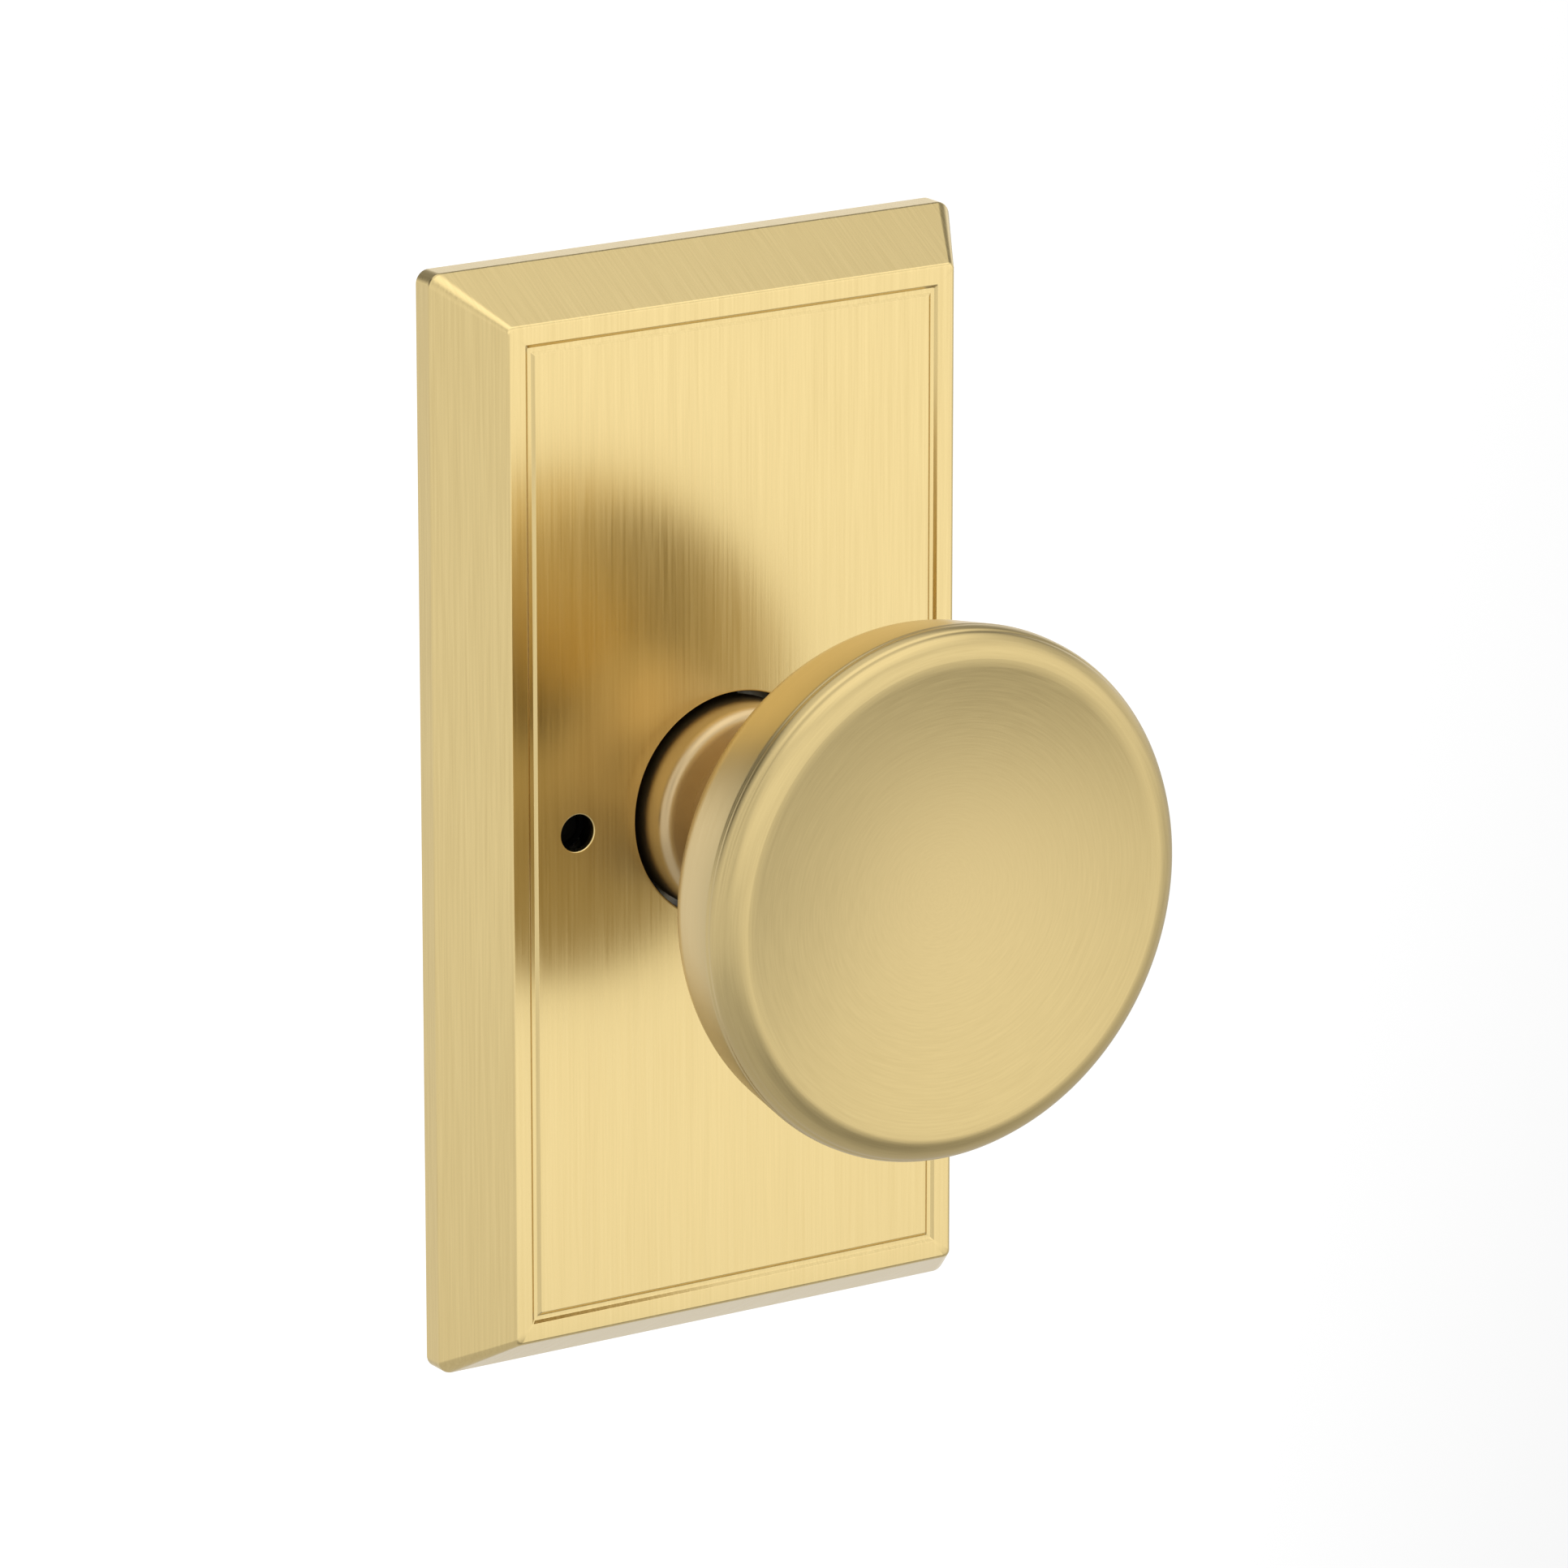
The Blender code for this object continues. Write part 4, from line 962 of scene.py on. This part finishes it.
# The pin's own black oxide finish, deepened to near black as painted shade under the plate's hole.
oxide = Finish("black_oxide", Metallic=0.0, Specular_IOR_Level=0.12)
x, y, z = oxide.place()
rings = oxide.noise(((x - RELEASE_X) ** 2 + z ** 2) ** 0.5 * 5000, y * 5000, 0.0, detail=2.0)
oxide.feed("Base Color", oxide.blend(oxide.fade(rings, 0.35, 0.65), HOLE_SHADE_BLACK, HOLE_SHADE_DARK))
oxide.feed("Roughness", oxide.fade(rings, 0.3, 0.7, 0.5, 0.65))
oxide.feed("Normal", oxide.bump(rings, 0.006 * MM))
release_pin.data.materials.append(oxide.material)
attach(release_pin, "release_plunger")
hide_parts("release_pin")
clip_steel = blued_steel("clip_steel", 2500, 2500)
coat("release_pin_clip", clip_steel)

SPRING_RADIUS = 1.95 * MM
SPRING_WIRE = 0.22 * MM
SPRING_TURNS = 5
SPRING_STEPS = 24
SPRING_SEAT = -0.9 * MM     # the floor of the guide, which the spring stands on
SPRING_CLEAR = 0.1 * MM     # room at each end
spring_low = SPRING_SEAT + SPRING_WIRE + SPRING_CLEAR
spring_high = PIN_HEAD_BACK - SPRING_WIRE - SPRING_CLEAR
outline = []
for step in range(SPRING_TURNS * SPRING_STEPS + 1):
    angle = math.tau * step / SPRING_STEPS
    share = step / (SPRING_TURNS * SPRING_STEPS)
    outline.append((RELEASE_X + SPRING_RADIUS * math.cos(angle),
                    -spring_low - (spring_high - spring_low) * share,
                    SPRING_RADIUS * math.sin(angle)))
bpy.ops.object.select_all(action='DESELECT')
bpy.ops.curve.primitive_nurbs_path_add(location=(0, 0, 0))
release_spring = bpy.context.object
release_spring.name = "steel_release_spring"
wire = release_spring.data
wire.splines.clear()
coil = wire.splines.new('POLY')
coil.points.add(len(outline) - 1)
for point, place in zip(coil.points, outline):
    point.co = (*place, 1)
wire.bevel_depth = SPRING_WIRE
wire.bevel_resolution = 2
wire.use_fill_caps = True
only(release_spring)
bpy.ops.object.convert(target='MESH')
release_spring = bpy.context.object
bpy.ops.object.shade_smooth_by_angle(angle=math.radians(50))
release_spring.data.materials.clear()
release_spring.data.materials.append(blued_steel("fine_spring_wire", 2500, 5000).material)
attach(release_spring, "rose")
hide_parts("release_spring")
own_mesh(release_spring)


# ---------------------------------------------------------------------------------------
# Shank tube. A turned steel tube that carries the knob through the bushing, grooved near its
# end for the retaining ring and cross-drilled for the spindle's pin.
# ---------------------------------------------------------------------------------------
STEEL = (0.50, 0.505, 0.51, 1)
STEEL_DULL = (0.36, 0.36, 0.365, 1)
TUBE_RADIUS = 7.0 * MM
TUBE_BORE = 5.3 * MM
TUBE_EDGE = 0.3 * MM
TUBE_GROOVE = 6.2 * MM
TUBE_PIN_DEPTH = 35.0 * MM
TUBE_PIN_HOLE = 1.5 * MM
ring_low, ring_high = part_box("retaining_ring")
ring_front, ring_back = -ring_low.y, -ring_high.y
tube_low, tube_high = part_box("shank_tube")
tube_front, tube_back = -tube_low.y, -tube_high.y
outline = [(TUBE_RADIUS - TUBE_EDGE, tube_front), (TUBE_RADIUS, tube_front - TUBE_EDGE),
           (TUBE_RADIUS, ring_front + FIT_GAP), (TUBE_GROOVE, ring_front + FIT_GAP),
           (TUBE_GROOVE, ring_back - FIT_GAP), (TUBE_RADIUS, ring_back - FIT_GAP),
           (TUBE_RADIUS, tube_back + TUBE_EDGE), (TUBE_RADIUS - TUBE_EDGE, tube_back),
           (TUBE_BORE + TUBE_EDGE, tube_back), (TUBE_BORE, tube_back + TUBE_EDGE),
           (TUBE_BORE, tube_front - TUBE_EDGE), (TUBE_BORE + TUBE_EDGE, tube_front)]
tube = lathe("steel_shank_tube", outline, steps=96)
bpy.ops.object.select_all(action='DESELECT')
bpy.ops.mesh.primitive_cylinder_add(vertices=32, radius=TUBE_PIN_HOLE, depth=4 * TUBE_RADIUS,
                                    location=(0, -TUBE_PIN_DEPTH, 0),
                                    rotation=(0, math.pi / 2, 0))
cross_drill = bpy.context.object
bpy.ops.object.transform_apply(location=True, rotation=True, scale=True)
cut(tube, cross_drill)
only(tube)
bpy.ops.object.shade_smooth_by_angle(angle=math.radians(32))
tube.data.materials.append(turned_steel("turned_tube", STEEL, STEEL_DULL).material)
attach(tube, "knob")
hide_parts("shank_tube")


# ---------------------------------------------------------------------------------------
# Knob spider. A pressed dish of zinc-plated steel on the tube's front end, which stiffens the
# thin shell from inside.
# ---------------------------------------------------------------------------------------
coat("knob_spider", zinc_plate("zinc_spider"))


# ---------------------------------------------------------------------------------------
# Spindle bar and its cross pin. A 7 mm square bar of zinc-plated drawn steel that turns the
# latch, held in the tube by a plain steel pin.
# ---------------------------------------------------------------------------------------
drawn = Finish("zinc_bar", Metallic=1.0)
x, y, z = drawn.place()
draw_lines = drawn.noise(x * 3800, y * 45, z * 3800, detail=2.0)
clouds = drawn.noise(x * 90, y * 60, z * 90, w=4.0, detail=2.0)
drawn.feed("Base Color", drawn.blend(drawn.fade(draw_lines * 0.5 + clouds * 0.5, 0.35, 0.68),
                                     ZINC, ZINC_YELLOW))
drawn.feed("Roughness", drawn.fade(draw_lines, 0.3, 0.7, 0.26, 0.4))
drawn.feed("Normal", drawn.bump(draw_lines, 0.008 * MM))
coat("spindle_bar", drawn)
coat("spindle_pin", turned_steel("pin_steel", STEEL, STEEL_DULL))


# ---------------------------------------------------------------------------------------
# Drive cam. A plate stamped from steel and keyed to the tube, with an ear that winds the
# return spring and meets the cage's stops.
# ---------------------------------------------------------------------------------------
coat("drive_cam", greased)


# ---------------------------------------------------------------------------------------
# Thrust washer and retaining ring. A thin bronze washer behind the mounting plate, and the
# open ring in the tube's groove that keeps the knob from pulling out.
# ---------------------------------------------------------------------------------------
WASHER_RADIUS = 11.2 * MM
WASHER_EDGE = 0.12 * MM
washer_low, washer_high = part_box("thrust_washer")
washer_front, washer_back = -washer_low.y, -washer_high.y
outline = [(WASHER_RADIUS - WASHER_EDGE, washer_front), (WASHER_RADIUS, washer_front - WASHER_EDGE),
           (WASHER_RADIUS, washer_back + WASHER_EDGE), (WASHER_RADIUS - WASHER_EDGE, washer_back),
           (TUBE_CLEAR, washer_back), (TUBE_CLEAR, washer_front)]
washer = lathe("bronze_washer", outline, steps=96)
washer.data.materials.append(sintered_bronze("washer_bronze").material)
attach(washer, "knob")
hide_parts("thrust_washer")
coat("retaining_ring", clip_steel)
